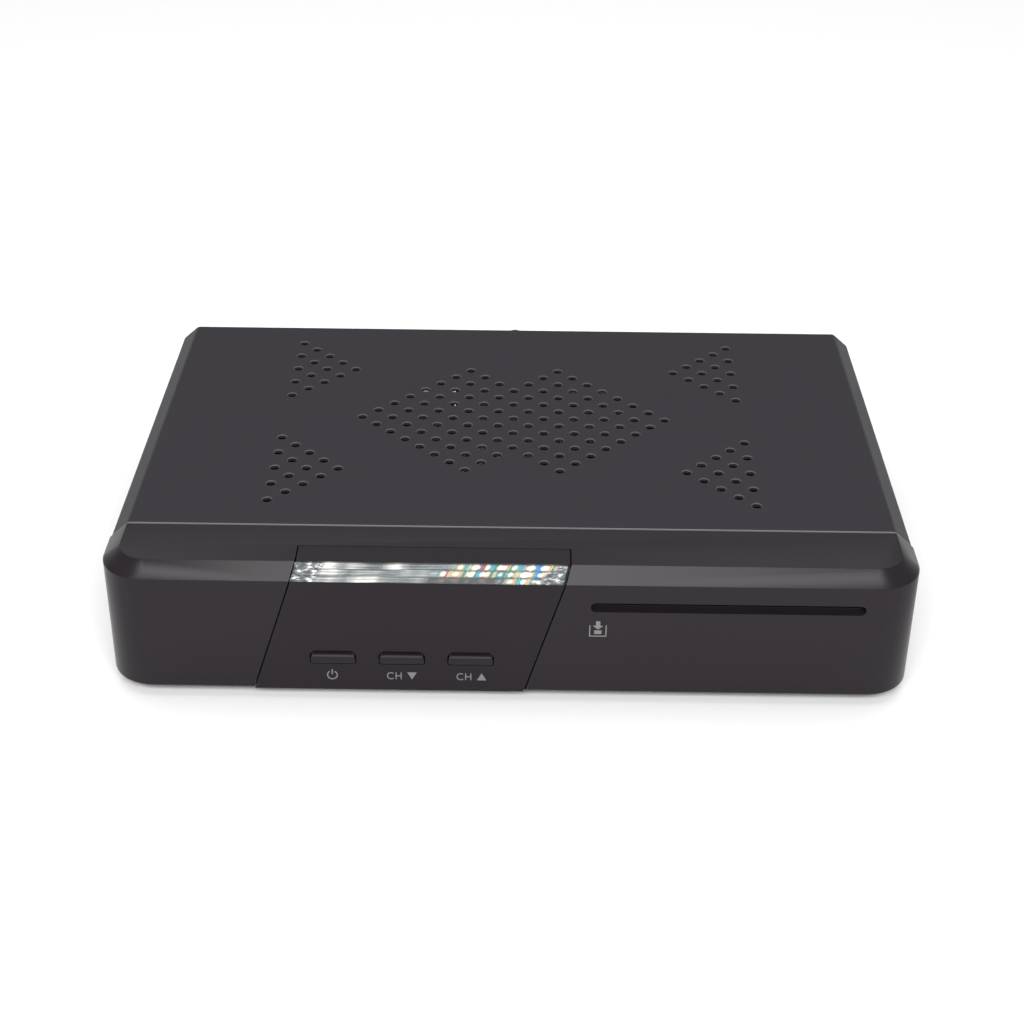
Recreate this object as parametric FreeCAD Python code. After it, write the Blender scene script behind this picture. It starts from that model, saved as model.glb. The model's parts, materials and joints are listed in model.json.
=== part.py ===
"""Small satellite television receiver: folded steel cover, moulded front, boards and rear sockets.

Millimetres. X is to the right seen from the front, Y runs from the front to the back, Z is up.
The origin is on the table, under the middle of the overall box.
"""
import FreeCAD, Part
import math
import os

from FreeCAD import Vector

os.makedirs("parts", exist_ok=True)

# Overall sizes of the case
body_width = 169.0
body_depth = 113.0
body_height = 30.2
foot_height = 2.5
socket_reach = 12.0

# Outline of the case
chamfer_height = 3.4
side_chamfer = 3.9
front_chamfer = 2.5
corner_radius = 9.4
corner_radius_top = 6.2
bezel_depth = 16.4
bezel_wall = 2.0
bezel_step = 0.15
bezel_bottom_round = 0.8

# Sheet metal
sheet = 0.8
bend_radius = 0.6
cover_gap = 0.2
seam_gap = 0.3
cover_lift = 0.5
chassis_flange = 13.0

# Clearances
moving_gap = 0.3
fit_gap = 0.1
stem_gap = 0.08
seat_gap = 0.2

# Vent holes in the cover, on a staggered grid
vent_pitch = 3.5
vent_radius = 1.0
vent_rim = 0.2
vent_centre_depth = 65.6
vent_rows = 14
vent_margin = 1.5
vent_centre_column = 10
triangle_column = 15
triangle_steps = 4

# Centre panel in the bezel, its edges measured from the case's right side
panel_top_left = -128.4
panel_top_right = -72.0
panel_bottom_left = -138.3
panel_bottom_right = -81.2
panel_strip = 8.6
panel_wall = 3.3
panel_flange = 2.4
panel_flange_wall = 1.0

# Light bar
bar_thickness = 2.0
bar_web = 1.4
bar_ribs = 3
bar_rib_depth = 0.25
foil = 0.2

# Push buttons, the first one measured from the case's right side
button_pitch = 14.35
first_button_x = -121.25
button_drop = 22.05
button_window_width = 9.7
button_window_height = 3.3
button_window_radius = 1.5
button_low_radius = 0.5
button_gap_top = 0.5
button_gap_side = 0.35
button_gap_low = 0.1
button_proud = 0.7
button_edge = 0.25
button_flange = 0.9
button_flange_wall = 1.0
button_travel = 0.5
plunger_radius = 1.4

# Tact switches
switch_size = 6.0
switch_height = 3.5
switch_stem_radius = 1.7
switch_stem_seat = 1.0
switch_stem_free = 1.3

# Circuit boards
board = 1.6
front_board_depth = 11.0
front_board_margin = 1.0
front_board_overlap = 5.7
front_board_ear_high = 13.0
front_board_low = 4.5
front_board_high = 23.5
main_board_lift = 5.0
main_board_side_gap = 2.0
main_board_front = 20.0
main_board_back_gap = 2.0

# Smart card slot and reader, the slot's middle measured from the case's right side
card_slot_centre = -39.8
card_slot_width = 56.2
card_slot_height = 2.2
card_slot_drop = 8.8
reader_width = 58.0
reader_length = 50.0
reader_height = 6.0
reader_gap = 0.3
reader_throat_width = 54.6
reader_throat_height = 1.3
card_board_half_width = 35.0
card_board_length = 56.0
card_post_offset = 32.2
card_post_front = 26.0
card_post_back = 54.0
header_front = 40.0
header_edge = 4.0
header_length = 20.4

# Screws and posts
screw_radius = 1.25
head_radius = 2.5
head_height = 1.6
boss_radius = 2.5
post_radius = 2.2
main_post_edge = 12.55
main_post_gap = 7.0
main_post_front = 40.0
main_post_back = 22.0
boss_gap = 1.3
bezel_tab_edge = 29.5
foot_radius = 6.0
foot_edge = 16.5
foot_front = 30.0
foot_back = 15.0

# Parts on the main board, their depths measured from its back edge
processor_size = 21.0
processor_height = 1.8
processor_back = 53.1
sink_size = 36.0
sink_height = 10.0
sink_base = 2.5
sink_fins = 9
sink_fin_wall = 1.2
sink_gap = 4.3
ribbon_offset = 15.5
ribbon_width = 14.0
ribbon_front = 32.0
led_pitch = 10.5
led_inset = 6.0
coil_radius = 3.4
coil_height = 5.0
crystal_width = 11.0
crystal_length = 4.5
crystal_height = 3.5
chip_height = 1.2
# Chips: offset across from the processor, depth, width, length
chip_places = [(-22.5, 49.1, 9.0, 13.0), (-22.5, 65.1, 9.0, 13.0), (38.0, 43.1, 12.0, 8.0),
               (52.0, 75.1, 7.0, 7.0), (-36.0, 45.1, 6.0, 5.0)]
# Coils: place across and depth, first those by the back sockets, then the one by the processor
coil_places = [(10.0, 25.6), (18.0, 25.6)]
processor_coil = (-26.0, 36.6)
# Capacitors: place across, depth, radius, height
capacitor_places = [(-27.0, 16.6, 3.15, 11.0), (-27.0, 24.1, 3.15, 11.0), (-14.5, 16.6, 2.5, 9.0),
                    (-8.0, 16.6, 2.5, 9.0), (-4.0, 23.6, 2.0, 7.0)]
# Capacitors by the power inlet: place across from the board's left edge, depth, radius, height
left_capacitor_places = [(22.5, 18.6, 4.0, 12.0), (33.5, 20.6, 4.0, 12.0), (18.5, 30.6, 3.15, 9.0)]

# Rear sockets: place across the back, looking from the front
# The aerial sockets are measured from the case's right side
aerial_places = [-36.5, -18.5]
aerial_mouth_depth = 9.0
tuner_margin = 11.0
tuner_depth = 26.0
tuner_height = 16.0
washer = 0.6
nut_height = 2.2
nut_across = 11.0
thread_relief = 0.6
hdmi_length = 12.0
network_length = 16.0
network_width = 16.0
network_height = 13.6
usb_length = 14.0
hdmi_place = 20.0
network_place = -2.0
usb_place = -22.0
digital_place = -38.0
av_place = -52.0
power_place = -66.0
aerial_radius = 4.76
aerial_axis = 8.5
digital_radius = 4.15
digital_root = 3.3
digital_axis = 6.0
digital_width = 10.0
digital_height = 11.5
digital_block_length = 12.0
digital_barrel_length = 8.0
digital_collar = 0.8
digital_root_length = 4.0
digital_bore = 1.7
av_bore = 1.8
av_axis = 4.0
av_width = 9.0
av_height = 8.0
av_length = 14.0
power_bore = 3.0
power_axis = 6.4
power_width = 9.0
power_height = 11.0
power_length = 14.0

# Worked out from the sizes above
overall_depth = button_proud + body_depth + socket_reach
y_front = button_proud - overall_depth / 2
y_cover_back = y_front + body_depth
y_back = y_cover_back - sheet - fit_gap
z_bottom = foot_height
z_top = z_bottom + body_height
z_ridge = z_top - chamfer_height
y_seam = y_front + bezel_depth
half_width = body_width / 2
cover_half = half_width - bezel_step
floor_top = z_bottom + sheet
main_board_z = floor_top + main_board_lift
main_board_top = main_board_z + board
panel_inner = y_back - sheet
sheet_inset = sheet + cover_gap
tray_half = cover_half - sheet_inset
panel_low_left = half_width + panel_bottom_left
panel_low_right = half_width + panel_bottom_right
panel_high_left = half_width + panel_top_left
panel_high_right = half_width + panel_top_right
card_slot_x = half_width + card_slot_centre
aerial_xs = [half_width + place for place in aerial_places]
main_board_half_width = tray_half - sheet - main_board_side_gap


def box(x0, x1, y0, y1, z0, z1):
    """Block between two corners."""
    return Part.makeBox(x1 - x0, y1 - y0, z1 - z0, Vector(x0, y0, z0))


def rod(radius, x, y, z, length, direction=(0, 1, 0)):
    """Round bar from a point along a direction."""
    return Part.makeCylinder(radius, length, Vector(x, y, z), Vector(*direction))


def prism(points, direction):
    """Closed outline pulled along a direction."""
    wire = Part.makePolygon([Vector(*p) for p in points] + [Vector(*points[0])])
    return Part.Face(wire).extrude(Vector(*direction))


def fuse(shapes):
    """One solid from touching pieces."""
    first = shapes[0]
    return first.fuse(shapes[1:]).removeSplitter()


def write(name, *shapes):
    """Save one node, as one solid or a group of separate solids."""
    solids = [solid for shape in shapes for solid in shape.Solids]
    whole = solids[0] if len(solids) == 1 else Part.makeCompound(solids)
    if not whole.isValid():
        raise ValueError(name + " is not valid")
    whole.exportStep("parts/" + name + ".step")
    print(name, len(solids), round(whole.Volume, 1))
    return whole


def case_section(inset, y0, y1, low):
    """Cross-section of the case, moved inwards by a wall, pulled from y0 to y1."""
    # The sloping side moves in by the same wall, so its corners shift by these amounts
    slope = math.hypot(side_chamfer, chamfer_height)
    drop = inset * (slope - side_chamfer) / chamfer_height
    across = inset * (slope - chamfer_height) / side_chamfer
    half = cover_half - inset
    flat = cover_half - side_chamfer - across
    points = [(-half, y0, low), (-half, y0, z_ridge - drop), (-flat, y0, z_top - inset)]
    points += [(flat, y0, z_top - inset), (half, y0, z_ridge - drop), (half, y0, low)]
    return prism(points, (0, y1 - y0, 0))


def rounded_outline(half, y0, y1, radius, z):
    """Outline with two rounded front corners and square back corners, at a height."""
    turn = radius * (1 - math.sqrt(0.5))
    left_mid = Vector(-half + turn, y0 + turn, z)
    right_mid = Vector(half - turn, y0 + turn, z)
    left_side = Vector(-half, y0 + radius, z)
    left_front = Vector(-half + radius, y0, z)
    right_front = Vector(half - radius, y0, z)
    right_side = Vector(half, y0 + radius, z)
    back_right = Vector(half, y1, z)
    back_left = Vector(-half, y1, z)
    edges = [
        Part.LineSegment(back_left, left_side).toShape(),
        Part.Arc(left_side, left_mid, left_front).toShape(),
        Part.LineSegment(left_front, right_front).toShape(),
        Part.Arc(right_front, right_mid, right_side).toShape(),
        Part.LineSegment(right_side, back_right).toShape(),
        Part.LineSegment(back_right, back_left).toShape(),
    ]
    return Part.Wire(edges)


def bezel_block(inset, y1, low):
    """Solid front body, moved inwards by a wall on the front, sides and top."""
    top = z_top - inset
    ridge = z_ridge
    side_run = side_chamfer * (top - ridge) / chamfer_height
    front_run = front_chamfer * (top - ridge) / chamfer_height
    lower = rounded_outline(half_width - inset, y_front + inset, y1, corner_radius - inset, low)
    radius_low = corner_radius - inset
    radius_high = corner_radius_top - inset * corner_radius_top / corner_radius
    bottom = Part.Face(lower).extrude(Vector(0, 0, ridge - low))
    outline_low = rounded_outline(half_width - inset, y_front + inset, y1, radius_low, ridge)
    half_high = half_width - inset - side_run
    outline_high = rounded_outline(half_high, y_front + inset + front_run, y1, radius_high, top)
    upper = Part.makeLoft([outline_low, outline_high], True, True)
    return fuse([bottom, upper])


def panel_edge(z, left):
    """Place of the centre panel's slanted edge at a height."""
    share = (z_top - z) / body_height
    if left:
        return panel_high_left + (panel_low_left - panel_high_left) * share
    return panel_high_right + (panel_low_right - panel_high_right) * share


def panel_region(grow, y0, y1, low, high):
    """Slanted block between the panel's two edges, wider by grow at each side."""
    points = [
        (panel_edge(low, True) - grow, y0, low),
        (panel_edge(high, True) - grow, y0, high),
        (panel_edge(high, False) + grow, y0, high),
        (panel_edge(low, False) + grow, y0, low),
    ]
    return prism(points, (0, y1 - y0, 0))


def along_x(points):
    """Side view outline of (depth behind the front face, height), pulled over the panel's width."""
    x0 = panel_low_left - panel_flange - bezel_wall
    length = panel_high_right + panel_flange + bezel_wall - x0
    return prism([(x0, y_front + d, z) for d, z in points], (length, 0, 0))


def chamfer_band(near, far):
    """Band behind the front chamfer, between two distances square to it."""
    slope = math.hypot(front_chamfer, chamfer_height)
    nd = chamfer_height / slope
    nz = -front_chamfer / slope
    low = (0, z_ridge)
    high = (front_chamfer, z_top)
    return along_x([
        (low[0] + near * nd, low[1] + near * nz),
        (high[0] + near * nd, high[1] + near * nz),
        (high[0] + far * nd, high[1] + far * nz),
        (low[0] + far * nd, low[1] + far * nz),
    ])


def rounded_bar(width, height, radius, x, z, y0, y1):
    """Bar with rounded corners, its section in X and Z, pulled along Y."""
    block = box(x - width / 2, x + width / 2, y0, y1, z - height / 2, z + height / 2)
    edges = [e for e in block.Edges if abs(e.tangentAt(e.FirstParameter).y) > 0.9]
    return block.makeFillet(radius, edges)


def arched_bar(half_high, half_low, x, low, high, radius, y0, y1):
    """Bar whose section has large rounded upper corners and small lower ones, pulled along Y."""
    points = [(x - half_low, y0, low), (x - half_high, y0, high), (x + half_high, y0, high), (x + half_low, y0, low)]
    block = prism(points, (0, y1 - y0, 0))
    for corner_z, size in ((high, radius), (low, button_low_radius)):
        along = [e for e in block.Edges if e.BoundBox.YLength > (y1 - y0) * 0.9]
        block = block.makeFillet(size, [e for e in along if abs(e.BoundBox.Center.z - corner_z) < 0.01])
    return block


def screw(x, y, z, length, direction, radius=screw_radius, head=head_radius, tall=head_height):
    """Pan head screw: the head's seat is at the point, the shank runs along the direction."""
    d = Vector(*direction)
    start = Vector(x, y, z)
    shank = Part.makeCylinder(radius, length, start, d)
    cap = Part.makeCylinder(head, tall, start - d * tall, d)
    rim = cap.Edges[0] if cap.Edges[0].CenterOfMass.sub(start).Length > tall / 2 else cap.Edges[2]
    cap = cap.makeFillet(tall * 0.5, [rim])
    cross = tall * 0.5
    a = Part.makeBox(head, head * 0.25, cross, Vector(-head / 2, -head * 0.125, 0))
    b = Part.makeBox(head * 0.25, head, cross, Vector(-head * 0.125, -head / 2, 0))
    recess = a.fuse(b)
    recess.Placement = FreeCAD.Placement(start - d * tall, FreeCAD.Rotation(Vector(0, 0, 1), d))
    return fuse([cap.cut(recess), shank])


# Places that several pieces share
button_z = z_top - button_drop
window_high = button_z + button_window_height / 2
window_low = button_z - button_window_height / 2
button_names = ["power", "channel_down", "channel_up"]
button_xs = [half_width + first_button_x + button_pitch * i for i in range(len(button_names))]
front_board_y = y_front + front_board_depth
front_board_back = front_board_y + board
switch_face = front_board_y - switch_height
stem_tip = switch_face - switch_stem_free
card_slot_z = z_top - card_slot_drop
reader_low = card_slot_z - reader_height / 2
reader_front = y_front + bezel_wall + reader_gap
card_board_z = reader_low - board
left_boss_x = panel_low_left - panel_flange - boss_radius - boss_gap
right_boss_x = panel_low_right + front_board_overlap + boss_radius + 0.5
front_board_left = left_boss_x - boss_radius - front_board_margin
front_board_right = panel_low_right + front_board_overlap
front_board_ear = right_boss_x + boss_radius + front_board_margin
front_board_bosses = [(left_boss_x, z_bottom + 8.0), (left_boss_x, z_bottom + 19.5), (right_boss_x, z_bottom + 8.0)]
tuner_back = panel_inner - 0.3
tuner_front = tuner_back - tuner_depth
tuner_left = aerial_xs[0] - tuner_margin
tuner_right = aerial_xs[-1] + tuner_margin
main_post_x = tray_half - sheet - main_post_edge
rear_post_y = y_back - main_post_back
main_posts = [(-main_post_x, y_front + main_post_front), (main_post_x, y_front + main_post_front),
              (-main_post_x, rear_post_y), (tuner_left - main_post_gap, rear_post_y)]
card_post_ys = [y_front + card_post_front, y_front + card_post_back]
card_posts = [(card_slot_x + s * card_post_offset, y) for s in (-1, 1) for y in card_post_ys]
bezel_tabs = [-(half_width - bezel_tab_edge), half_width - bezel_tab_edge]
tab_half = 5.0
tab_y = y_seam + 5.0
tab_end = y_seam + 10.0
tab_wall = 2.5
rear_screw_drop = 3.1
rear_tab_half = 8.0
rear_tab_drop = 7.2
board_back = panel_inner - main_board_back_gap
board_left = -main_board_half_width
processor_x = card_slot_x - card_post_offset - post_radius - sink_gap - sink_size / 2
processor_y = board_back - processor_back
aerial_nut_face = y_back + washer + nut_height
aerial_tip = y_cover_back + socket_reach
hdmi_front = y_back - hdmi_length
network_front = y_back - network_length
usb_front = y_back - usb_length
ribbon_x = front_board_left + ribbon_offset
ribbon_high = z_bottom + 18.0
ribbon_back = y_front + ribbon_front


def vent_places():
    """Grid steps of every vent hole: a double diamond and a triangle towards each corner."""
    places = []
    for k in range(vent_rows + 1):
        row = min(k, vent_rows - k)
        reach = [[7, 13], [6, 8, 12, 14], [5, 7, 9, 11, 13, 15]]
        if row < len(reach):
            columns = reach[row]
        else:
            columns = range(7 - row, 2 * vent_centre_column - 6 + row, 2)
        places += [(i - vent_centre_column, k - vent_rows / 2) for i in columns]
    for side in (-1, 1):
        for end in (-1, 1):
            for step in range(-triangle_steps, triangle_steps + 1):
                # Row 0 of the triangle lies on the outermost rows of the double diamond
                inner = (triangle_steps - abs(step)) // 2
                first = triangle_column - abs(step) % 2
                row = end * vent_rows / 2 + step
                places += [(side * (first - 2 * n), row) for n in range(inner + 1)]
    return places


def vent_punch():
    """Cutter for one vent hole with a small countersunk rim."""
    reach = 2.0
    points = [(0, 0, -reach), (vent_radius, 0, -reach), (vent_radius, 0, -vent_rim)]
    points += [(vent_radius + vent_rim, 0, 0), (vent_radius + vent_rim, 0, reach), (0, 0, reach)]
    wire = Part.makePolygon([Vector(*p) for p in points] + [Vector(*points[0])])
    return Part.Face(wire).revolve(Vector(0, 0, 0), Vector(0, 0, 1), 360)


def top_cover():
    """Folded steel cover: top, sloping edges, sides and a tab down the back."""
    y0 = y_seam + seam_gap
    low = z_bottom + cover_lift
    outer = case_section(0, y0, y_cover_back, low)
    outer_edges = [e for e in outer.Edges if abs(e.BoundBox.YLength - (y_cover_back - y0)) < 0.01]
    bends = [e for e in outer_edges if e.BoundBox.ZMin > low + 1]
    outer = outer.makeFillet(bend_radius + sheet, bends)
    inner = case_section(sheet, y0 - 1, y_cover_back + 1, low - 1)
    inner_edges = [e for e in inner.Edges if e.BoundBox.YLength > 10 and e.BoundBox.ZMin > low + 1]
    inner = inner.makeFillet(bend_radius, inner_edges)
    shell = outer.cut(inner)
    tab = box(-rear_tab_half, rear_tab_half, y_cover_back - sheet, y_cover_back, z_top - rear_tab_drop, z_top)
    shell = fuse([shell, tab])
    punch = vent_punch()
    centre_y = y_front + vent_centre_depth
    punches = []
    first_y = y0 + vent_radius + vent_margin
    last_y = y_cover_back - sheet - vent_radius - vent_margin
    for i, k in vent_places():
        y = centre_y - k * vent_pitch
        if first_y < y < last_y:
            copy = punch.copy()
            copy.translate(Vector(i * vent_pitch, y, z_top))
            punches.append(copy)
    shell = shell.cut(Part.makeCompound(punches))
    return shell.cut(rod(screw_radius + fit_gap, 0, y_back - 1, z_top - rear_screw_drop, 4))


def rear_openings():
    """Holes through the back wall, one for each socket."""
    y0 = y_back - 3
    low = main_board_top
    holes = [rod(aerial_radius + moving_gap, x, y0, low + aerial_axis, 6) for x in aerial_xs]
    holes.append(box(hdmi_place - 7.8, hdmi_place + 7.8, y0, y0 + 6, low + 0.6, low + 7.2))
    side = network_width / 2 + moving_gap
    holes.append(box(network_place - side, network_place + side, y0, y0 + 6, low, low + network_height + moving_gap))
    holes.append(box(usb_place - 6.9, usb_place + 6.9, y0, y0 + 6, low, low + 7.5))
    holes.append(rod(digital_radius + 0.8, digital_place, y0, low + digital_axis, 6))
    holes.append(rod(4.3, av_place, y0, low + av_axis, 6))
    side = power_width / 2 + moving_gap
    holes.append(box(power_place - side, power_place + side, y0, y0 + 6, low, low + power_height + moving_gap))
    holes.append(rod(screw_radius + fit_gap, 0, y0, z_top - rear_screw_drop, 6))
    return holes


def chassis_tray():
    """Steel tray: floor, folded sides and back wall, with formed posts for the main board."""
    half = tray_half
    y0 = y_seam + seam_gap
    floor = box(-half, half, y0, y_back, z_bottom, floor_top)
    back = case_section(sheet_inset, panel_inner, y_back, z_bottom)
    sides = []
    for s in (-1, 1):
        x0, x1 = sorted((s * half, s * (half - sheet)))
        sides.append(box(x0, x1, y_seam + 12.0, y_back, z_bottom, z_bottom + chassis_flange))
    posts = [rod(post_radius + 1.0, x, y, z_bottom, sheet + main_board_lift, (0, 0, 1)) for x, y in main_posts]
    tray = fuse([floor, back] + sides + posts)
    cuts = rear_openings()
    cuts += [rod(screw_radius, x, y, z_bottom + sheet, main_board_lift + 1, (0, 0, 1)) for x, y in main_posts]
    cuts += [rod(screw_radius + fit_gap, x, tab_y, z_bottom - 1, 4, (0, 0, 1)) for x in bezel_tabs]
    slot_length = 22.0
    slot_width = 2.0
    slot_pitch_across = 27.0
    slot_pitch_deep = 6.0
    for column in range(-2, 3):
        for row in range(6):
            x = column * slot_pitch_across
            y = rear_post_y - main_post_gap - row * slot_pitch_deep
            cuts.append(box(x - slot_length / 2, x + slot_length / 2, y, y + slot_width, z_bottom - 1, floor_top + 1))
    return tray.cut(Part.makeCompound(cuts))


def front_bezel():
    """Moulded front: top strip, chamfer, rounded corners, skirt inside the cover and two tabs."""
    outer = bezel_block(0, y_seam, z_bottom)
    low_edges = [e for e in outer.Edges if e.BoundBox.ZMax < z_bottom + 0.01 and e.BoundBox.YMin < y_seam - 1]
    outer = outer.makeFillet(bezel_bottom_round, low_edges)
    inner = bezel_block(bezel_wall, y_seam + 1, z_bottom + bezel_wall)
    shell = outer.cut(inner)
    skirt_end = y_seam + 8.0
    skirt_wall = 1.2
    skirt = case_section(sheet_inset, y_seam - 1.5, skirt_end, z_bottom + chassis_flange + 1)
    skirt = skirt.cut(case_section(sheet_inset + skirt_wall, y_seam - 2, skirt_end + 1, z_bottom))
    bridge_low = z_bottom + chassis_flange + 1
    bridge = case_section(sheet_inset, y_seam - 1.5, y_seam, bridge_low)
    bridge = bridge.cut(case_section(sheet_inset + skirt_wall, y_seam - 2, y_seam + 1, z_bottom))
    rim = bezel_block(0, y_seam, bridge_low).cut(bezel_block(bezel_wall + 1.2, y_seam + 1, z_bottom))
    rim = rim.common(box(-half_width, half_width, y_seam - 1.5, y_seam, bridge_low, z_top))
    pieces = [shell, skirt, bridge, rim]
    for x in bezel_tabs:
        low = floor_top + fit_gap
        top = low + tab_wall
        pieces.append(box(x - tab_half, x + tab_half, y_seam - 4.0, tab_end, low, top))
        pieces.append(box(x - tab_half, x + tab_half, y_seam - 4.0, y_seam, z_bottom + bezel_wall - 0.5, top))
    for x, z in front_board_bosses:
        pieces.append(rod(boss_radius, x, y_front + bezel_wall - 0.5, z, front_board_depth - bezel_wall + 0.5))
    shell = fuse(pieces)
    top_cut = panel_region(0, y_front - 1, y_front + panel_strip, z_ridge - 3.0, z_top + 1)
    front_cut = panel_region(0, y_front - 1, y_front + panel_wall + seam_gap, z_bottom - 1, z_ridge - 2.0)
    slot_radius = card_slot_height / 2 - 0.05
    slot = rounded_bar(card_slot_width, card_slot_height, slot_radius, card_slot_x, card_slot_z,
                       y_front - 1, y_front + bezel_wall + 1)
    cuts = [top_cut, front_cut, slot]
    cuts += [rod(screw_radius, x, y_front + 5.0, z, front_board_depth, (0, 1, 0)) for x, z in front_board_bosses]
    cuts += [rod(screw_radius, x, tab_y, z_bottom - 1, 8, (0, 0, 1)) for x in bezel_tabs]
    shell = shell.cut(cuts[0])
    for cutter in cuts[1:]:
        shell = shell.cut(cutter)
    return shell


def centre_panel():
    """Slanted panel over the top edge and down the front, with the button windows and the bar's bed."""
    inner_top = z_top - bezel_wall
    bed = bar_thickness + foil + bar_web
    slope = math.hypot(front_chamfer, chamfer_height)
    # Where the web behind the bar meets the underside of the strip and the back of the wall
    bed_depth = front_chamfer + (bed * slope - bezel_wall * front_chamfer) / chamfer_height
    bed_drop = inner_top - (bed_depth - panel_wall) * chamfer_height / front_chamfer
    strip_back = panel_strip - seam_gap
    side = along_x([
        (0, z_bottom), (0, z_ridge), (front_chamfer, z_top), (strip_back, z_top),
        (strip_back, inner_top), (bed_depth, inner_top), (panel_wall, bed_drop), (panel_wall, z_bottom),
    ])
    body = side.common(panel_region(-seam_gap, y_front - 1, y_front + panel_strip + 1, z_bottom - 1, z_top + 1))
    flange_y = y_front + bezel_wall + seat_gap
    flange = panel_region(panel_flange, flange_y, flange_y + panel_flange_wall,
                          z_bottom + bezel_wall + 1.5, z_ridge - 4.0)
    body = fuse([body, flange])
    body = body.cut(chamfer_band(-1, bar_thickness + foil))
    for x in button_xs:
        body = body.cut(arched_bar(button_window_width / 2, button_window_width / 2, x, window_low, window_high,
                                   button_window_radius, y_front - 1, y_front + panel_wall + 1))
    return body


def light_bar():
    """Clear bar in the chamfer, with shallow grooves along its face."""
    band = chamfer_band(0, bar_thickness)
    band = band.common(panel_region(-seam_gap, y_front - 1, y_front + 12, z_bottom, z_top + 1))
    slope = math.hypot(front_chamfer, chamfer_height)
    x0 = panel_low_left
    length = panel_high_right - panel_low_left
    for n in range(1, bar_ribs):
        share = n / bar_ribs
        y = y_front + front_chamfer * share
        z = z_ridge + chamfer_height * share
        band = band.cut(rod(bar_rib_depth * slope / chamfer_height, x0, y, z, length, (1, 0, 0)))
    return band


def bar_foil():
    """Bright foil between the clear bar and its bed."""
    band = chamfer_band(bar_thickness, bar_thickness + foil)
    return band.common(panel_region(-seam_gap, y_front - 1, y_front + 12, z_bottom, z_top + 1))


def push_button(x):
    """Cap in its window, flange behind the panel and plunger towards the switch."""
    low = window_low + button_gap_low
    high = window_high - button_gap_top
    half_high = button_window_width / 2 - button_gap_side
    half_low = button_window_width / 2 - button_gap_low
    flange_y = y_front + panel_wall + moving_gap
    back = flange_y + button_flange_wall
    proud_y = y_front - button_proud
    cap = arched_bar(half_high, half_low, x, low, high, button_window_radius - button_gap_side, proud_y - 1, back)
    # The face stands proud at the top and runs out flush with the panel at the bottom
    side = [(x - half_low - 1, proud_y, high), (x - half_low - 1, back, high),
            (x - half_low - 1, back, low), (x - half_low - 1, y_front, low)]
    wedge = prism(side, (2 * half_low + 2, 0, 0))
    lip = [e for e in wedge.Edges if e.BoundBox.YMax < proud_y + 0.01]
    cap = cap.common(wedge.makeFillet(button_edge, lip))
    flange = rounded_bar(button_window_width + 2 * button_flange, button_window_height + 2 * button_flange,
                         button_window_radius, x, button_z, flange_y, back)
    plunger = rod(plunger_radius, x, flange_y, button_z, stem_tip - flange_y)
    return fuse([cap, flange, plunger])


def switch_stem(x):
    """Round stem standing out of its switch."""
    return rod(switch_stem_radius, x, stem_tip, button_z, switch_stem_free + switch_stem_seat)


def tact_switch(x):
    """Square switch body on the front board, with the well for its stem."""
    half = switch_size / 2
    body = box(x - half, x + half, switch_face, front_board_y, button_z - half, button_z + half)
    well = rod(switch_stem_radius + stem_gap, x, switch_face - 1, button_z,
               1 + switch_stem_seat + button_travel + moving_gap)
    return body.cut(well)


def front_board():
    """Upright board behind the centre panel."""
    plate = box(front_board_left, front_board_right, front_board_y, front_board_back,
                z_bottom + front_board_low, z_bottom + front_board_high)
    ear = box(front_board_right, front_board_ear, front_board_y, front_board_back,
              z_bottom + front_board_low, z_bottom + front_board_ear_high)
    plate = fuse([plate, ear])
    for x, z in front_board_bosses:
        plate = plate.cut(rod(screw_radius + fit_gap, x, front_board_y - 1, z, board + 2))
    return plate


def indicator_leds():
    """Small round lamps on the front board, aimed at the light bar."""
    leds = []
    z = z_bottom + front_board_high - 2.0
    for n in range(5):
        x = panel_high_left + led_inset + n * led_pitch
        base = rod(1.5, x, front_board_y - 3.0, z, 3.0)
        dome = Part.makeSphere(1.5, Vector(x, front_board_y - 3.0, z))
        leds.append(fuse([base, dome]))
    return leds


def infrared_receiver():
    """Remote control receiver: a small block with a half-round lens."""
    x = panel_low_right + 0.7
    z = z_bottom + 15.0
    block = box(x - 2.5, x + 2.5, front_board_y - 3.0, front_board_y, z - 3.4, z + 3.4)
    lens = Part.makeSphere(2.2, Vector(x, front_board_y - 3.0, z))
    return fuse([block, lens])


def main_board():
    """Large board over the tray floor."""
    plate = box(-main_board_half_width, main_board_half_width, y_front + main_board_front,
                panel_inner - main_board_back_gap, main_board_z, main_board_top)
    for x, y in main_posts:
        plate = plate.cut(rod(screw_radius + fit_gap, x, y, main_board_z - 1, board + 2, (0, 0, 1)))
    for x, y in card_posts:
        plate = plate.cut(rod(screw_radius + fit_gap, x, y, main_board_z - 1, board + 2, (0, 0, 1)))
    for x in bezel_tabs:
        plate = plate.cut(rod(head_radius, x, tab_y, main_board_z - 1, board + 2, (0, 0, 1)))
    return plate


def card_board():
    """Small board that carries the card reader above the main board."""
    y0 = reader_front + 2.0
    plate = box(card_slot_x - card_board_half_width, card_slot_x + card_board_half_width,
                y0, y0 + card_board_length, card_board_z, card_board_z + board)
    for x, y in card_posts:
        plate = plate.cut(rod(screw_radius + fit_gap, x, y, card_board_z - 1, board + 2, (0, 0, 1)))
    return plate


def card_reader():
    """Flat frame with a throat for the card and a window over its contacts."""
    half = reader_width / 2
    body = box(card_slot_x - half, card_slot_x + half, reader_front, reader_front + reader_length,
               reader_low, reader_low + reader_height)
    throat = box(card_slot_x - reader_throat_width / 2, card_slot_x + reader_throat_width / 2,
                 reader_front - 1, reader_front + reader_length - 3.0,
                 card_slot_z - reader_throat_height / 2, card_slot_z + reader_throat_height / 2)
    window = box(card_slot_x - 9.0, card_slot_x + 9.0, reader_front + 22.0, reader_front + 38.0,
                 reader_low - 1, card_slot_z)
    return body.cut(throat).cut(window)


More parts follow.
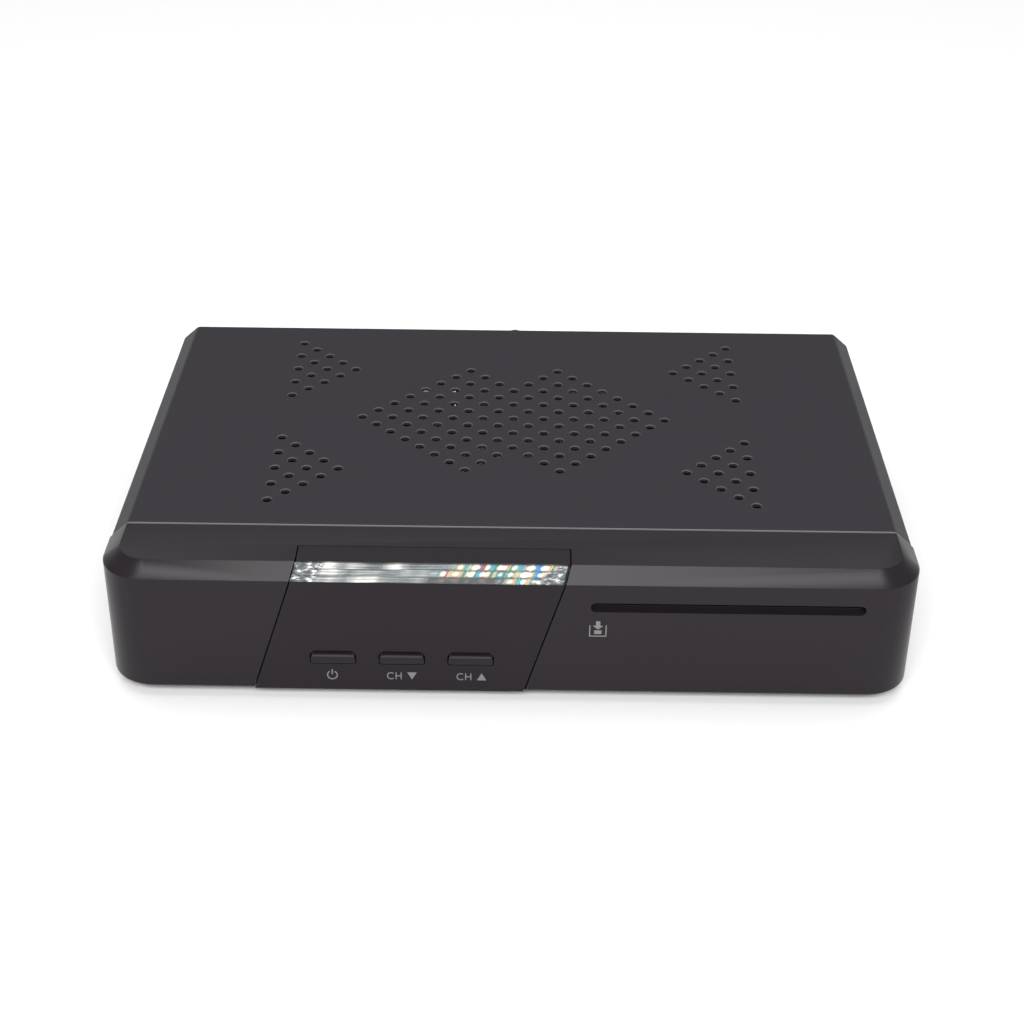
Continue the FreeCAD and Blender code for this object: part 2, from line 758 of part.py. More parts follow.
def card_contacts():
    """Eight spring fingers under the card."""
    fingers = []
    for row in range(2):
        for n in range(4):
            x = card_slot_x - 3.81 + n * 2.54
            y = reader_front + 24.0 + row * 7.0
            foot = box(x - 0.5, x + 0.5, y, y + 5.0, card_board_z + board, card_board_z + board + 0.4)
            rise = box(x - 0.5, x + 0.5, y + 4.4, y + 5.0, card_board_z + board, card_slot_z - 0.7)
            tip = box(x - 0.5, x + 0.5, y + 2.6, y + 5.0, card_slot_z - 1.1, card_slot_z - 0.7)
            fingers.append(fuse([foot, rise, tip]))
    return fingers


def card_spacers():
    """Round spacers between the two boards."""
    length = card_board_z - main_board_top
    spacers = []
    for x, y in card_posts:
        body = rod(post_radius, x, y, main_board_top, length, (0, 0, 1))
        spacers.append(body.cut(rod(screw_radius, x, y, main_board_top - 1, length + 2, (0, 0, 1))))
    return spacers


def board_screws():
    """Screws of the three boards."""
    screws = []
    length = 4.0
    for x, y in main_posts:
        screws.append(screw(x, y, main_board_top, length, (0, 0, -1), screw_radius - 0.02))
    for x, y in card_posts:
        screws.append(screw(x, y, card_board_z + board, length, (0, 0, -1), screw_radius - 0.02))
    for x, z in front_board_bosses:
        screws.append(screw(x, front_board_back, z, length, (0, -1, 0), screw_radius - 0.02))
    return screws


def bezel_screws():
    """Screws up through the tray floor into the bezel's tabs."""
    return [screw(x, tab_y, z_bottom, 3.2, (0, 0, 1), screw_radius - 0.02) for x in bezel_tabs]


def cover_screw():
    """Screw through the cover's back tab into the back wall."""
    return screw(0, y_cover_back, z_top - rear_screw_drop, 5.0, (0, -1, 0), head=2.75, tall=2.0)


def feet():
    """Round stick-on feet."""
    pads = []
    for x in (foot_edge - half_width, half_width - foot_edge):
        for y in (y_front + foot_front, y_cover_back - foot_back):
            pad = rod(foot_radius, x, y, 0, foot_height, (0, 0, 1))
            pads.append(pad.makeFillet(0.6, [e for e in pad.Edges if e.BoundBox.ZMax < 0.01]))
    return pads


def processor():
    """Main chip under the heat sink."""
    half = processor_size / 2
    return box(processor_x - half, processor_x + half, processor_y - half, processor_y + half,
               main_board_top, main_board_top + processor_height)


def heat_sink():
    """Finned block on the main chip."""
    half = sink_size / 2
    low = main_board_top + processor_height
    block = box(processor_x - half, processor_x + half, processor_y - half, processor_y + half,
                low, low + sink_height)
    gap = (sink_size - sink_fins * sink_fin_wall) / (sink_fins - 1)
    for n in range(sink_fins - 1):
        x = processor_x - half + sink_fin_wall * (n + 1) + gap * n
        block = block.cut(box(x, x + gap, processor_y - half - 1, processor_y + half + 1,
                              low + sink_base, low + sink_height + 1))
    return block


def memory_chips():
    """Two memory chips, a flash chip and a tuner chip."""
    chips = []
    for offset, depth, wide, deep in chip_places:
        x = processor_x + offset
        y = board_back - depth
        chips.append(box(x - wide / 2, x + wide / 2, y - deep / 2, y + deep / 2,
                         main_board_top, main_board_top + chip_height))
    return chips


def capacitor_cans():
    """Round electrolytic capacitors with a pressed cross in the top."""
    cans = []
    places = capacitor_places + [(board_left + x, d, radius, tall) for x, d, radius, tall in left_capacitor_places]
    for x, depth, radius, tall in places:
        y = board_back - depth
        can = rod(radius, x, y, main_board_top, tall, (0, 0, 1))
        can = can.makeFillet(0.5, [e for e in can.Edges if e.BoundBox.ZMin > main_board_top + tall - 0.01])
        top = main_board_top + tall
        mark = box(x - radius * 0.6, x + radius * 0.6, y - 0.15, y + 0.15, top - 0.2, top + 1)
        cross = box(x - 0.15, x + 0.15, y - radius * 0.6, y + radius * 0.6, top - 0.2, top + 1)
        cans.append(can.cut(mark).cut(cross))
    return cans


def power_coils():
    """Wound coils of the power supply, each a drum with its winding."""
    coils = []
    flange = 1.0
    for x, depth in coil_places + [(processor_x + processor_coil[0], processor_coil[1])]:
        y = board_back - depth
        low = rod(coil_radius, x, y, main_board_top, flange, (0, 0, 1))
        wound = rod(coil_radius - 0.6, x, y, main_board_top + flange, coil_height - 2 * flange, (0, 0, 1))
        high = rod(coil_radius, x, y, main_board_top + coil_height - flange, flange, (0, 0, 1))
        coils.append(fuse([low, wound, high]))
    return coils


def crystal():
    """Crystal in its flat can."""
    x0 = processor_x - 2.0
    y0 = processor_y - sink_size / 2 - 1.5 - crystal_length
    block = box(x0, x0 + crystal_width, y0, y0 + crystal_length, main_board_top, main_board_top + crystal_height)
    edges = [e for e in block.Edges if abs(e.tangentAt(e.FirstParameter).z) > 0.9]
    return block.makeFillet(2.0, edges)


def tuner_can():
    """Folded steel box of the tuner, with a lid edge and holes for its sockets' roots."""
    low = main_board_top
    block = box(tuner_left, tuner_right, tuner_front, tuner_back, low, low + tuner_height)
    groove = 0.3
    ring = block.cut(box(tuner_left + groove, tuner_right - groove, tuner_front + groove, tuner_back - groove,
                         low - 1, low + tuner_height + 1))
    band = ring.common(box(tuner_left - 1, tuner_right + 1, tuner_front - 1, tuner_back + 1,
                           low + tuner_height - 3.2, low + tuner_height - 2.8))
    return block.cut(band)


def aerial_socket(x):
    """Threaded aerial socket: root on the tuner, thread with a relief beside the nut, hollow mouth."""
    z = main_board_top + aerial_axis
    root = rod(aerial_radius, x, tuner_back, z, aerial_nut_face - tuner_back)
    relief = rod(aerial_radius - 0.4, x, aerial_nut_face, z, thread_relief)
    thread_start = aerial_nut_face + thread_relief
    thread = rod(aerial_radius, x, thread_start, z, aerial_tip - thread_start)
    body = fuse([root, relief, thread])
    return body.cut(rod(aerial_radius - 0.9, x, aerial_tip - aerial_mouth_depth, z, aerial_mouth_depth + 1))


def aerial_insulator(x):
    """White plug inside the socket's mouth, with the hole for the wire."""
    z = main_board_top + aerial_axis
    plug = rod(aerial_radius - 0.9, x, aerial_tip - aerial_mouth_depth, z, aerial_mouth_depth - 0.8)
    return plug.cut(rod(0.6, x, aerial_tip - 6.0, z, 6.0))


def aerial_nut(x):
    """Hexagon nut that clamps the socket to the back wall."""
    z = main_board_top + aerial_axis
    corner = nut_across / math.sqrt(3)
    points = [(x + corner * math.cos(math.radians(60 * n)), y_back + washer, z + corner * math.sin(math.radians(60 * n)))
              for n in range(6)]
    nut = prism(points, (0, aerial_nut_face - y_back - washer, 0))
    return nut.cut(rod(aerial_radius + 0.02, x, y_back - 1, z, 8))


def aerial_washer(x):
    """Flat washer under the nut."""
    z = main_board_top + aerial_axis
    ring = rod(6.6, x, y_back, z, washer)
    return ring.cut(rod(aerial_radius + 0.1, x, y_back - 1, z, 3))


def hdmi_socket():
    """Picture socket: a folded shell with sloping lower corners and a tongue inside."""
    x = hdmi_place
    low = main_board_top + 1.2
    high = low + 5.4
    outer = prism([(x - 7.4, hdmi_front, high), (x - 7.4, hdmi_front, low + 2.0), (x - 5.6, hdmi_front, low),
                   (x + 5.6, hdmi_front, low), (x + 7.4, hdmi_front, low + 2.0), (x + 7.4, hdmi_front, high)],
                  (0, y_back + 0.6 - hdmi_front, 0))
    inner = prism([(x - 7.0, hdmi_front, high - 0.4), (x - 7.0, hdmi_front, low + 2.15), (x - 5.4, hdmi_front, low + 0.4),
                   (x + 5.4, hdmi_front, low + 0.4), (x + 7.0, hdmi_front, low + 2.15), (x + 7.0, hdmi_front, high - 0.4)],
                  (0, y_back + 2 - hdmi_front, 0))
    inner.translate(Vector(0, 1.5, 0))
    shell = outer.cut(inner)
    legs = [box(x + s * 6.9 - 0.5, x + s * 6.9 + 0.5, hdmi_front + 2.0, hdmi_front + 4.0, main_board_top, low + 2.4)
            for s in (-1, 1)]
    tongue = box(x - 5.8, x + 5.8, hdmi_front + 1.0, y_back - 1.5, low + 2.4, low + 3.4)
    return fuse([shell] + legs + [tongue])


def network_socket():
    """Network socket: shielded block with a stepped mouth."""
    x = network_place
    low = main_board_top
    block = box(x - network_width / 2, x + network_width / 2, network_front, y_back + 0.4, low, low + network_height)
    mouth = box(x - 5.9, x + 5.9, y_back - 12.6, y_back + 2, low + 3.8, low + 11.6)
    latch = box(x - 3.2, x + 3.2, y_back - 12.6, y_back + 2, low + 2.2, low + 4.0)
    key = box(x - 1.6, x + 1.6, y_back - 12.6, y_back + 2, low + 1.0, low + 2.4)
    return block.cut(mouth).cut(latch).cut(key)


def network_contacts():
    """Eight contact wires under the roof of the network socket's mouth."""
    wires = []
    for n in range(8):
        x = network_place - 3.57 + n * 1.02
        wires.append(box(x - 0.2, x + 0.2, y_back - 12.6, y_back - 3.0, main_board_top + 11.2, main_board_top + 11.6))
    return wires


def usb_socket():
    """Flat data socket: folded shell with a white tongue made separately."""
    x = usb_place
    low = main_board_top + 0.5
    outer = box(x - 6.6, x + 6.6, usb_front, y_back + 0.6, low, low + 5.8)
    inner = box(x - 6.2, x + 6.2, usb_front + 2.0, y_back + 2, low + 0.4, low + 5.4)
    legs = [box(x + s * 6.1 - 0.5, x + s * 6.1 + 0.5, usb_front + 3.0, usb_front + 5.0, main_board_top, low + 1)
            for s in (-1, 1)]
    return fuse([outer.cut(inner)] + legs)


def usb_tongue():
    """Insulating tongue of the flat data socket."""
    x = usb_place
    low = main_board_top + 0.5
    return box(x - 5.6, x + 5.6, usb_front + 2.0, y_back - 0.8, low + 3.0, low + 4.9)


def digital_socket():
    """Round sound socket: block on the board and a collar through the back wall."""
    x = digital_place
    z = main_board_top + digital_axis
    block = box(x - digital_width / 2, x + digital_width / 2, y_back - digital_block_length, panel_inner - fit_gap,
                main_board_top, main_board_top + digital_height)
    collar = rod(digital_radius + 0.6, x, panel_inner - 1, z, 1.0 + sheet + digital_collar)
    body = fuse([block, collar])
    return body.cut(rod(digital_root, x, panel_inner - digital_root_length, z, digital_root_length + 4.0))


def digital_barrel():
    """Plated barrel of the round sound socket and its core with the centre hole."""
    x = digital_place
    z = main_board_top + digital_axis
    start = y_back + digital_collar
    tip = start + digital_barrel_length
    bore = digital_radius - 0.5
    depth = digital_barrel_length - 1.0
    root_start = panel_inner - digital_root_length
    root = rod(digital_root, x, root_start, z, start - root_start)
    barrel = fuse([root, rod(digital_radius, x, start, z, digital_barrel_length)])
    barrel = barrel.cut(rod(bore, x, tip - depth, z, depth + 1))
    core = rod(bore, x, tip - depth, z, depth - 0.4).cut(rod(digital_bore, x, tip - depth, z, depth + 1))
    return barrel, core


def av_socket():
    """Small round sound and picture socket with a nose through the back wall."""
    x = av_place
    z = main_board_top + av_axis
    block = box(x - av_width / 2, x + av_width / 2, y_back - av_length, panel_inner - fit_gap,
                main_board_top, main_board_top + av_height)
    nose = rod(4.0, x, panel_inner - 1, z, 1.0 + sheet + 1.6)
    body = fuse([block, nose])
    return body.cut(rod(av_bore, x, y_back - av_length + 2.0, z, av_length + 2.0))


def power_socket():
    """Low voltage inlet: block with a round mouth."""
    x = power_place
    z = main_board_top + power_axis
    block = box(x - power_width / 2, x + power_width / 2, y_back - power_length, y_back + 0.4,
                main_board_top, main_board_top + power_height)
    return block.cut(rod(power_bore, x, y_back - 10.0, z, 12.0))


def power_pin():
    """Centre pin of the low voltage inlet."""
    pin = rod(1.0, power_place, y_back - 10.0, main_board_top + power_axis, 9.0)
    return pin.makeFillet(0.5, [e for e in pin.Edges if e.BoundBox.YMin > y_back - 1.5])


def board_header():
    """Pin header that joins the card board to the main board."""
    x = card_slot_x - card_board_half_width + header_edge
    y = y_front + header_front
    block = box(x - 1.3, x + 1.3, y - header_length / 2, y + header_length / 2, main_board_top, main_board_top + 4.0)
    pins = [box(x - 0.32, x + 0.32, y - 9.3 + n * 2.54, y - 8.66 + n * 2.54, main_board_top + 4.0, card_board_z)
            for n in range(8)]
    return fuse([block] + pins)


def ribbon_sockets():
    """Two flat-cable sockets, one on each of the boards that the ribbon joins."""
    half = ribbon_width / 2 + 1.5
    front = box(ribbon_x - half, ribbon_x + half, front_board_back, front_board_back + 3.0,
                ribbon_high - 2.0, ribbon_high + 2.0)
    main = box(ribbon_x - half, ribbon_x + half, ribbon_back - 2.0, ribbon_back + 2.0,
               main_board_top, main_board_top + 3.0)
    return front, main


def ribbon_cable():
    """Flat cable from the front board back and down to the main board."""
    t = 0.3
    start = front_board_back + 3.0
    drop = main_board_top + 3.0
    points = [(start, ribbon_high), (ribbon_back - 2.0, ribbon_high), (ribbon_back, ribbon_high - 2.0),
              (ribbon_back, drop), (ribbon_back - t, drop), (ribbon_back - t, ribbon_high - 2.0 - t * 0.2),
              (ribbon_back - 2.0 - t * 0.2, ribbon_high - t), (start, ribbon_high - t)]
    return prism([(ribbon_x - ribbon_width / 2, y, z) for y, z in points], (ribbon_width, 0, 0))


def build():
    """Make and save every piece."""
    write("top_cover", top_cover())
    write("chassis_tray", chassis_tray())
    write("front_bezel", front_bezel())
    write("centre_panel", centre_panel())
    write("light_bar", light_bar())
    write("light_bar_foil", bar_foil())
    for name, x in zip(button_names, button_xs):
        write(name + "_button", push_button(x))
        write(name + "_switch_stem", switch_stem(x))
    write("tact_switches", *[tact_switch(x) for x in button_xs])
    write("front_board", front_board())
    write("indicator_leds", *indicator_leds())
    write("infrared_receiver", infrared_receiver())
    write("main_board", main_board())
    write("card_board", card_board())
    write("card_reader", card_reader())
    write("card_contacts", *card_contacts())
    write("card_spacers", *card_spacers())
    write("board_header", board_header())
    write("board_screws", *board_screws())
    write("bezel_screws", *bezel_screws())
    write("cover_screw", cover_screw())
    write("rubber_feet", *feet())
    write("processor", processor())
    write("heat_sink", heat_sink())
    write("memory_chips", *memory_chips())
    write("capacitors", *capacitor_cans())
    write("power_coils", *power_coils())
    write("crystal", crystal())
    write("tuner_can", tuner_can())
    write("aerial_sockets", *[aerial_socket(x) for x in aerial_xs])
    write("aerial_insulators", *[aerial_insulator(x) for x in aerial_xs])
    write("aerial_nuts", *[aerial_nut(x) for x in aerial_xs])
    write("aerial_washers", *[aerial_washer(x) for x in aerial_xs])
    write("hdmi_socket", hdmi_socket())
    write("network_socket", network_socket())
    write("network_contacts", *network_contacts())
    write("usb_socket", usb_socket())
    write("usb_tongue", usb_tongue())
    write("digital_socket", digital_socket())
    barrel, core = digital_barrel()
    write("digital_barrel", barrel)
    write("digital_core", core)
    write("av_socket", av_socket())
    write("power_socket", power_socket())
    write("power_pin", power_pin())
    write("ribbon_sockets", *ribbon_sockets())
    write("ribbon_cable", ribbon_cable())


build()
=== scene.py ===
"""Dressed model of a small satellite television receiver, in metres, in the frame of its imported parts."""

import json
import math

import bmesh
import bpy
from bpy.props import FloatProperty, FloatVectorProperty, IntProperty, PointerProperty
from mathutils import Matrix, Vector


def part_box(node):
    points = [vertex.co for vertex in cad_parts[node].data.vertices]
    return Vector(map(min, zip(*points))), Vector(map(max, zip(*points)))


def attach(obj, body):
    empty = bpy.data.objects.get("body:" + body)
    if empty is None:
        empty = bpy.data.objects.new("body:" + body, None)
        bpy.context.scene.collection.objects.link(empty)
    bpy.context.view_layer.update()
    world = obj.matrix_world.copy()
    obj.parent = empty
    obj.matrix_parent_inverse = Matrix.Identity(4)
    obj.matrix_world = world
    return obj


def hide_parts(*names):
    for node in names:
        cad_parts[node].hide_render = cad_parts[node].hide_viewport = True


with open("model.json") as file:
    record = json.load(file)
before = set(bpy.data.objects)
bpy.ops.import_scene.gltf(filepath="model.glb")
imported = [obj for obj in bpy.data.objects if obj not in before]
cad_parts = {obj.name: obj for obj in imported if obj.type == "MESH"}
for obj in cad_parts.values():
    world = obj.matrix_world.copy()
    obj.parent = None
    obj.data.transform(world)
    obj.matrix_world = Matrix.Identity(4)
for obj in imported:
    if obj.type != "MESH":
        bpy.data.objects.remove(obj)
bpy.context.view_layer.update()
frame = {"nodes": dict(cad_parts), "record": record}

bl_info = {
    "name": "Satellite Receiver",
    "version": (1, 0, 0),
    "blender": (4, 5, 0),
    "location": "View3D > Sidebar > Receiver",
    "description": "Dresses the packed parts of a small satellite television receiver",
    "category": "Object",
}

MM = 0.001
COVER_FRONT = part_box("top_cover")[0][1]
BEZEL_LOW, BEZEL_HIGH = (Vector(corner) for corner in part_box("front_bezel"))
BAR_LOW, BAR_HIGH = (Vector(corner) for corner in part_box("light_bar"))
FRONT = BEZEL_LOW.y
TOP = BEZEL_HIGH.z
# The chamfer over the front: how deep it runs back and how far it drops
CHAMFER_RUN = 2.5 * MM
CHAMFER_DROP = 3.4 * MM
# No vent hole lies further out from the middle
VENT_REACH = 70.0 * MM
# Bare metal with a painted highlight: how deep it shows in a vent hole and how strongly, and how wide it is
# on the cover's front edge
RIM_DEPTH = 0.21 * MM
RIM_SHARE = 0.40
EDGE_DEPTH = 0.30 * MM


class CaseSettings(bpy.types.PropertyGroup):
    """Finish of the cover and the mouldings."""
    cover_colour: FloatVectorProperty(
        name="Cover colour", description="Paint of the folded cover", subtype="COLOR",
        default=(0.0235, 0.0213, 0.0255), min=0.0, max=1.0)
    bezel_colour: FloatVectorProperty(
        name="Bezel colour", description="Plastic of the front", subtype="COLOR",
        default=(0.0152, 0.0120, 0.0147), min=0.0, max=1.0)
    tray_colour: FloatVectorProperty(
        name="Tray colour", description="Paint of the tray and the back wall", subtype="COLOR",
        default=(0.0180, 0.0150, 0.0175), min=0.0, max=1.0)
    # Paler colour of the cover's cut edges and vent rims: partly bare metal, partly a painted highlight
    # where these edges catch the light
    edge_metal_and_highlight_colour: FloatVectorProperty(
        name="Edge colour", description="Bare metal of the cover's cut edges", subtype="COLOR",
        default=(0.165, 0.16, 0.16), min=0.0, max=1.0)
    edge_radius: FloatProperty(
        name="Edge radius", description="Rounding of moulded edges", subtype="DISTANCE",
        default=0.22 * MM, min=0.0)
    grain_size: FloatProperty(
        name="Grain size", description="Size of the fine grain in paint and plastic", subtype="DISTANCE",
        default=0.28 * MM, min=0.01 * MM)


class LightBarSettings(bpy.types.PropertyGroup):
    """The clear bar in the chamfer."""
    ribs: IntProperty(
        name="Ribs", description="Lens ribs along the bar", default=3, min=1, max=9)
    rib_rise: FloatProperty(
        name="Rib rise", description="How far a rib stands out at its middle", subtype="DISTANCE",
        default=0.22 * MM, min=0.0)
    spot_pitch: FloatProperty(
        name="Spot pitch", description="Distance between bright spots in the foil", subtype="DISTANCE",
        default=2.85 * MM, min=0.1 * MM)
    # The foil glows by emission, painted light standing in for the sparkle it reflects
    painted_glow: FloatProperty(
        name="Glow", description="Brightness of the foil's sparkle", default=0.62, min=0.0)


class MarkSettings(bpy.types.PropertyGroup):
    """Printed marks under the buttons and the card slot."""
    mark_colour: FloatVectorProperty(
        name="Mark colour", description="Ink of the printed marks", subtype="COLOR",
        default=(0.150, 0.148, 0.150), min=0.0, max=1.0)
    letter_height: FloatProperty(
        name="Letter height", description="Height of the capital letters", subtype="DISTANCE",
        default=1.8 * MM, min=0.1 * MM)
    word_width: FloatProperty(
        name="Word width", description="Width of the two capital letters", subtype="DISTANCE",
        default=3.1 * MM, min=0.1 * MM)
    ink_thickness: FloatProperty(
        name="Ink thickness", description="How far the ink stands out", subtype="DISTANCE",
        default=0.02 * MM, min=0.001 * MM)


class StudioSettings(bpy.types.PropertyGroup):
    """Camera and lights."""
    lens: FloatProperty(
        name="Lens", description="Focal length of the camera in millimetres", default=65.28, min=10.0)
    key_power: FloatProperty(
        name="Key light", description="Power of the light above the camera", default=14.2, min=0.0)
    top_power: FloatProperty(
        name="Top light", description="Power of the large light overhead", default=23.0, min=0.0)
    rear_power: FloatProperty(
        name="Rear lights", description="Power of the two low lights behind the case", default=0.8, min=0.0)
    world_strength: FloatProperty(
        name="Room light", description="Brightness of the room", default=0.30, min=0.0)


def settings():
    """The scene's own settings."""
    return bpy.context.scene.receiver_settings


class ReceiverSettings(bpy.types.PropertyGroup):
    """All settings of the receiver."""
    case: PointerProperty(type=CaseSettings, name="Case", description="Finish of the case")
    light_bar: PointerProperty(type=LightBarSettings, name="Light bar", description="The clear bar")
    marks: PointerProperty(type=MarkSettings, name="Marks", description="Printed marks")
    studio: PointerProperty(type=StudioSettings, name="Studio", description="Camera and lights")


# Shader node groups

def new_group(name, inputs, outputs):
    """Empty shader node group with named float or colour sockets."""
    group = bpy.data.node_groups.new(name, "ShaderNodeTree")
    for socket, kind, value in inputs:
        made = group.interface.new_socket(socket, in_out="INPUT", socket_type=kind)
        made.default_value = value
    for socket, kind in outputs:
        group.interface.new_socket(socket, in_out="OUTPUT", socket_type=kind)
    start = group.nodes.new("NodeGroupInput")
    end = group.nodes.new("NodeGroupOutput")
    return group, start, end


def math_node(nodes, links, operation, first, second=None, third=None):
    """Math node with its inputs linked or set."""
    node = nodes.new("ShaderNodeMath")
    node.operation = operation
    for index, value in enumerate((first, second, third)):
        if value is None:
            continue
        if isinstance(value, (int, float)):
            node.inputs[index].default_value = value
        else:
            links.new(value, node.inputs[index])
    return node.outputs[0]


def grain_group():
    """Fine grain of paint and moulded plastic: a height, a roughness change and a shade."""
    group = bpy.data.node_groups.get("fine_grain")
    if group:
        return group
    group, start, end = new_group(
        "fine_grain",
        [("Grain per metre", "NodeSocketFloat", 3500.0), ("Cloudiness", "NodeSocketFloat", 0.08),
         ("Roughness", "NodeSocketFloat", 0.5), ("Colour", "NodeSocketColor", (0.05, 0.05, 0.05, 1.0))],
        [("Colour", "NodeSocketColor"), ("Roughness", "NodeSocketFloat"), ("Height", "NodeSocketFloat")])
    nodes, links = group.nodes, group.links
    place = nodes.new("ShaderNodeTexCoord")
    grain = nodes.new("ShaderNodeTexNoise")
    grain.inputs["Detail"].default_value = 2.0
    grain.inputs["Roughness"].default_value = 0.6
    links.new(place.outputs["Object"], grain.inputs["Vector"])
    links.new(start.outputs["Grain per metre"], grain.inputs["Scale"])
    cloud = nodes.new("ShaderNodeTexNoise")
    cloud.inputs["Scale"].default_value = 28.0
    cloud.inputs["Detail"].default_value = 5.0
    links.new(place.outputs["Object"], cloud.inputs["Vector"])
    centred = math_node(nodes, links, "SUBTRACT", cloud.outputs["Fac"], 0.5)
    swing = math_node(nodes, links, "MULTIPLY", centred, start.outputs["Cloudiness"])
    speck = math_node(nodes, links, "SUBTRACT", grain.outputs["Fac"], 0.5)
    speck = math_node(nodes, links, "MULTIPLY", speck, 0.5)
    shade = math_node(nodes, links, "ADD", swing, speck)
    shade = math_node(nodes, links, "ADD", shade, 1.0)
    tint = nodes.new("ShaderNodeVectorMath")
    tint.operation = "SCALE"
    links.new(start.outputs["Colour"], tint.inputs[0])
    links.new(shade, tint.inputs["Scale"])
    links.new(tint.outputs[0], end.inputs["Colour"])
    rough = math_node(nodes, links, "MULTIPLY_ADD", swing, 1.0, start.outputs["Roughness"])
    links.new(rough, end.inputs["Roughness"])
    links.new(grain.outputs["Fac"], end.inputs["Height"])
    return group


def dust_group():
    """Sparse pale specks of dust, as a mask."""
    group = bpy.data.node_groups.get("dust_specks")
    if group:
        return group
    group, start, end = new_group(
        "dust_specks",
        [("Spacing per metre", "NodeSocketFloat", 60.0), ("Size", "NodeSocketFloat", 0.014),
         ("Share", "NodeSocketFloat", 0.12)],
        [("Mask", "NodeSocketFloat")])
    nodes, links = group.nodes, group.links
    place = nodes.new("ShaderNodeTexCoord")
    cells = nodes.new("ShaderNodeTexVoronoi")
    links.new(place.outputs["Object"], cells.inputs["Vector"])
    links.new(start.outputs["Spacing per metre"], cells.inputs["Scale"])
    near = math_node(nodes, links, "LESS_THAN", cells.outputs["Distance"], start.outputs["Size"])
    parts = nodes.new("ShaderNodeSeparateColor")
    links.new(cells.outputs["Color"], parts.inputs["Color"])
    chosen = math_node(nodes, links, "LESS_THAN", parts.outputs["Red"], start.outputs["Share"])
    mask = math_node(nodes, links, "MULTIPLY", near, chosen)
    links.new(mask, end.inputs["Mask"])
    return group


# Materials

def new_material(name):
    """Empty node material with its Principled shader."""
    material = bpy.data.materials.new(name + "_finish")
    material.use_nodes = True
    nodes = material.node_tree.nodes
    nodes.clear()
    output = nodes.new("ShaderNodeOutputMaterial")
    shader = nodes.new("ShaderNodeBsdfPrincipled")
    material.node_tree.links.new(shader.outputs["BSDF"], output.inputs["Surface"])
    return material, nodes, material.node_tree.links, shader


def place_group(nodes, group, **values):
    """Group node with its own values."""
    node = nodes.new("ShaderNodeGroup")
    node.node_tree = group
    for name, value in values.items():
        node.inputs[name.replace("_", " ")].default_value = value
    return node


def part_place(nodes, links):
    """X, Y and Z of a point in the part's own frame, as three sockets of one node."""
    place = nodes.new("ShaderNodeTexCoord")
    split = nodes.new("ShaderNodeSeparateXYZ")
    links.new(place.outputs["Object"], split.inputs[0])
    return split.outputs


def colour_over(material, mask, colour):
    """Lay a colour over a material's own, where a mask says so."""
    nodes, links = material.node_tree.nodes, material.node_tree.links
    shader = next(node for node in nodes if node.type == "BSDF_PRINCIPLED")
    own = shader.inputs["Base Color"].links[0].from_socket
    links.new(blend(nodes, links, mask, own, colour), shader.inputs["Base Color"])
    return material


def between(nodes, links, value, low, high):
    """Mask of a value that lies between two limits."""
    over = math_node(nodes, links, "GREATER_THAN", value, low)
    under = math_node(nodes, links, "LESS_THAN", value, high)
    return math_node(nodes, links, "MULTIPLY", over, under)


def blend(nodes, links, mask, first, second):
    """Colour that goes from the first to the second with a mask."""
    mix = nodes.new("ShaderNodeMix")
    mix.data_type = "RGBA"
    links.new(mask, mix.inputs["Factor"])
    for value, socket in ((first, mix.inputs[6]), (second, mix.inputs[7])):
        if isinstance(value, tuple):
            socket.default_value = (*value, 1.0)
        else:
            links.new(value, socket)
    return mix.outputs[2]


def bare_metal_and_highlight_edges(material, colour):
    """Show bare metal with a painted highlight on the rims of the vent holes and on the cover's front edge:
    one paler colour stands for both the cut metal and the light these edges catch.
    """
    nodes, links = material.node_tree.nodes, material.node_tree.links
    place = part_place(nodes, links)
    across = math_node(nodes, links, "ABSOLUTE", place["X"])
    # Vent rims: a band just under the top face, bare metal and painted highlight
    rim = between(nodes, links, place["Z"], TOP - RIM_DEPTH, TOP - 0.01 * MM)
    inside = math_node(nodes, links, "LESS_THAN", across, VENT_REACH)
    rim = math_node(nodes, links, "MULTIPLY", rim, inside)
    rim = math_node(nodes, links, "MULTIPLY", rim, RIM_SHARE)
    # Cover's front edge: bare metal and painted highlight
    edge = math_node(nodes, links, "LESS_THAN", place["Y"], COVER_FRONT + EDGE_DEPTH)
    high = math_node(nodes, links, "GREATER_THAN", place["Z"], TOP - CHAMFER_DROP)
    edge = math_node(nodes, links, "MULTIPLY", edge, high)
    return colour_over(material, math_node(nodes, links, "MAXIMUM", rim, edge), colour)


def painted_lip_highlight(material, low, high, colour):
    """Painted highlight: a paler line between two heights, standing in for the gleam along a button's upper
    edge.
    """
    nodes, links = material.node_tree.nodes, material.node_tree.links
    place = part_place(nodes, links)
    up = rise(nodes, links, place["Z"], low, (low + high) / 2)
    down = rise(nodes, links, place["Z"], high, (low + high) / 2)
    return colour_over(material, math_node(nodes, links, "MULTIPLY", up, down), colour)


def grained(name, colour, roughness, grain_size, depth, cloudiness=0.10, dust=0.0, specular=0.5):
    """Paint or plastic with fine grain, faint clouds and, if wanted, specks of dust."""
    material, nodes, links, shader = new_material(name)
    group = place_group(nodes, grain_group(), Cloudiness=cloudiness, Roughness=roughness,
                        Colour=(*colour, 1.0), Grain_per_metre=1.0 / grain_size)
    links.new(group.outputs["Roughness"], shader.inputs["Roughness"])
    bump = nodes.new("ShaderNodeBump")
    bump.inputs["Strength"].default_value = 1.0
    bump.inputs["Distance"].default_value = depth
    links.new(group.outputs["Height"], bump.inputs["Height"])
    links.new(bump.outputs["Normal"], shader.inputs["Normal"])
    shader.inputs["Specular IOR Level"].default_value = specular
    if dust > 0.0:
        specks = place_group(nodes, dust_group(), Share=dust)
        dusty = blend(nodes, links, specks.outputs["Mask"], group.outputs["Colour"], (0.30, 0.29, 0.28))
        links.new(dusty, shader.inputs["Base Color"])
    else:
        links.new(group.outputs["Colour"], shader.inputs["Base Color"])
    return material


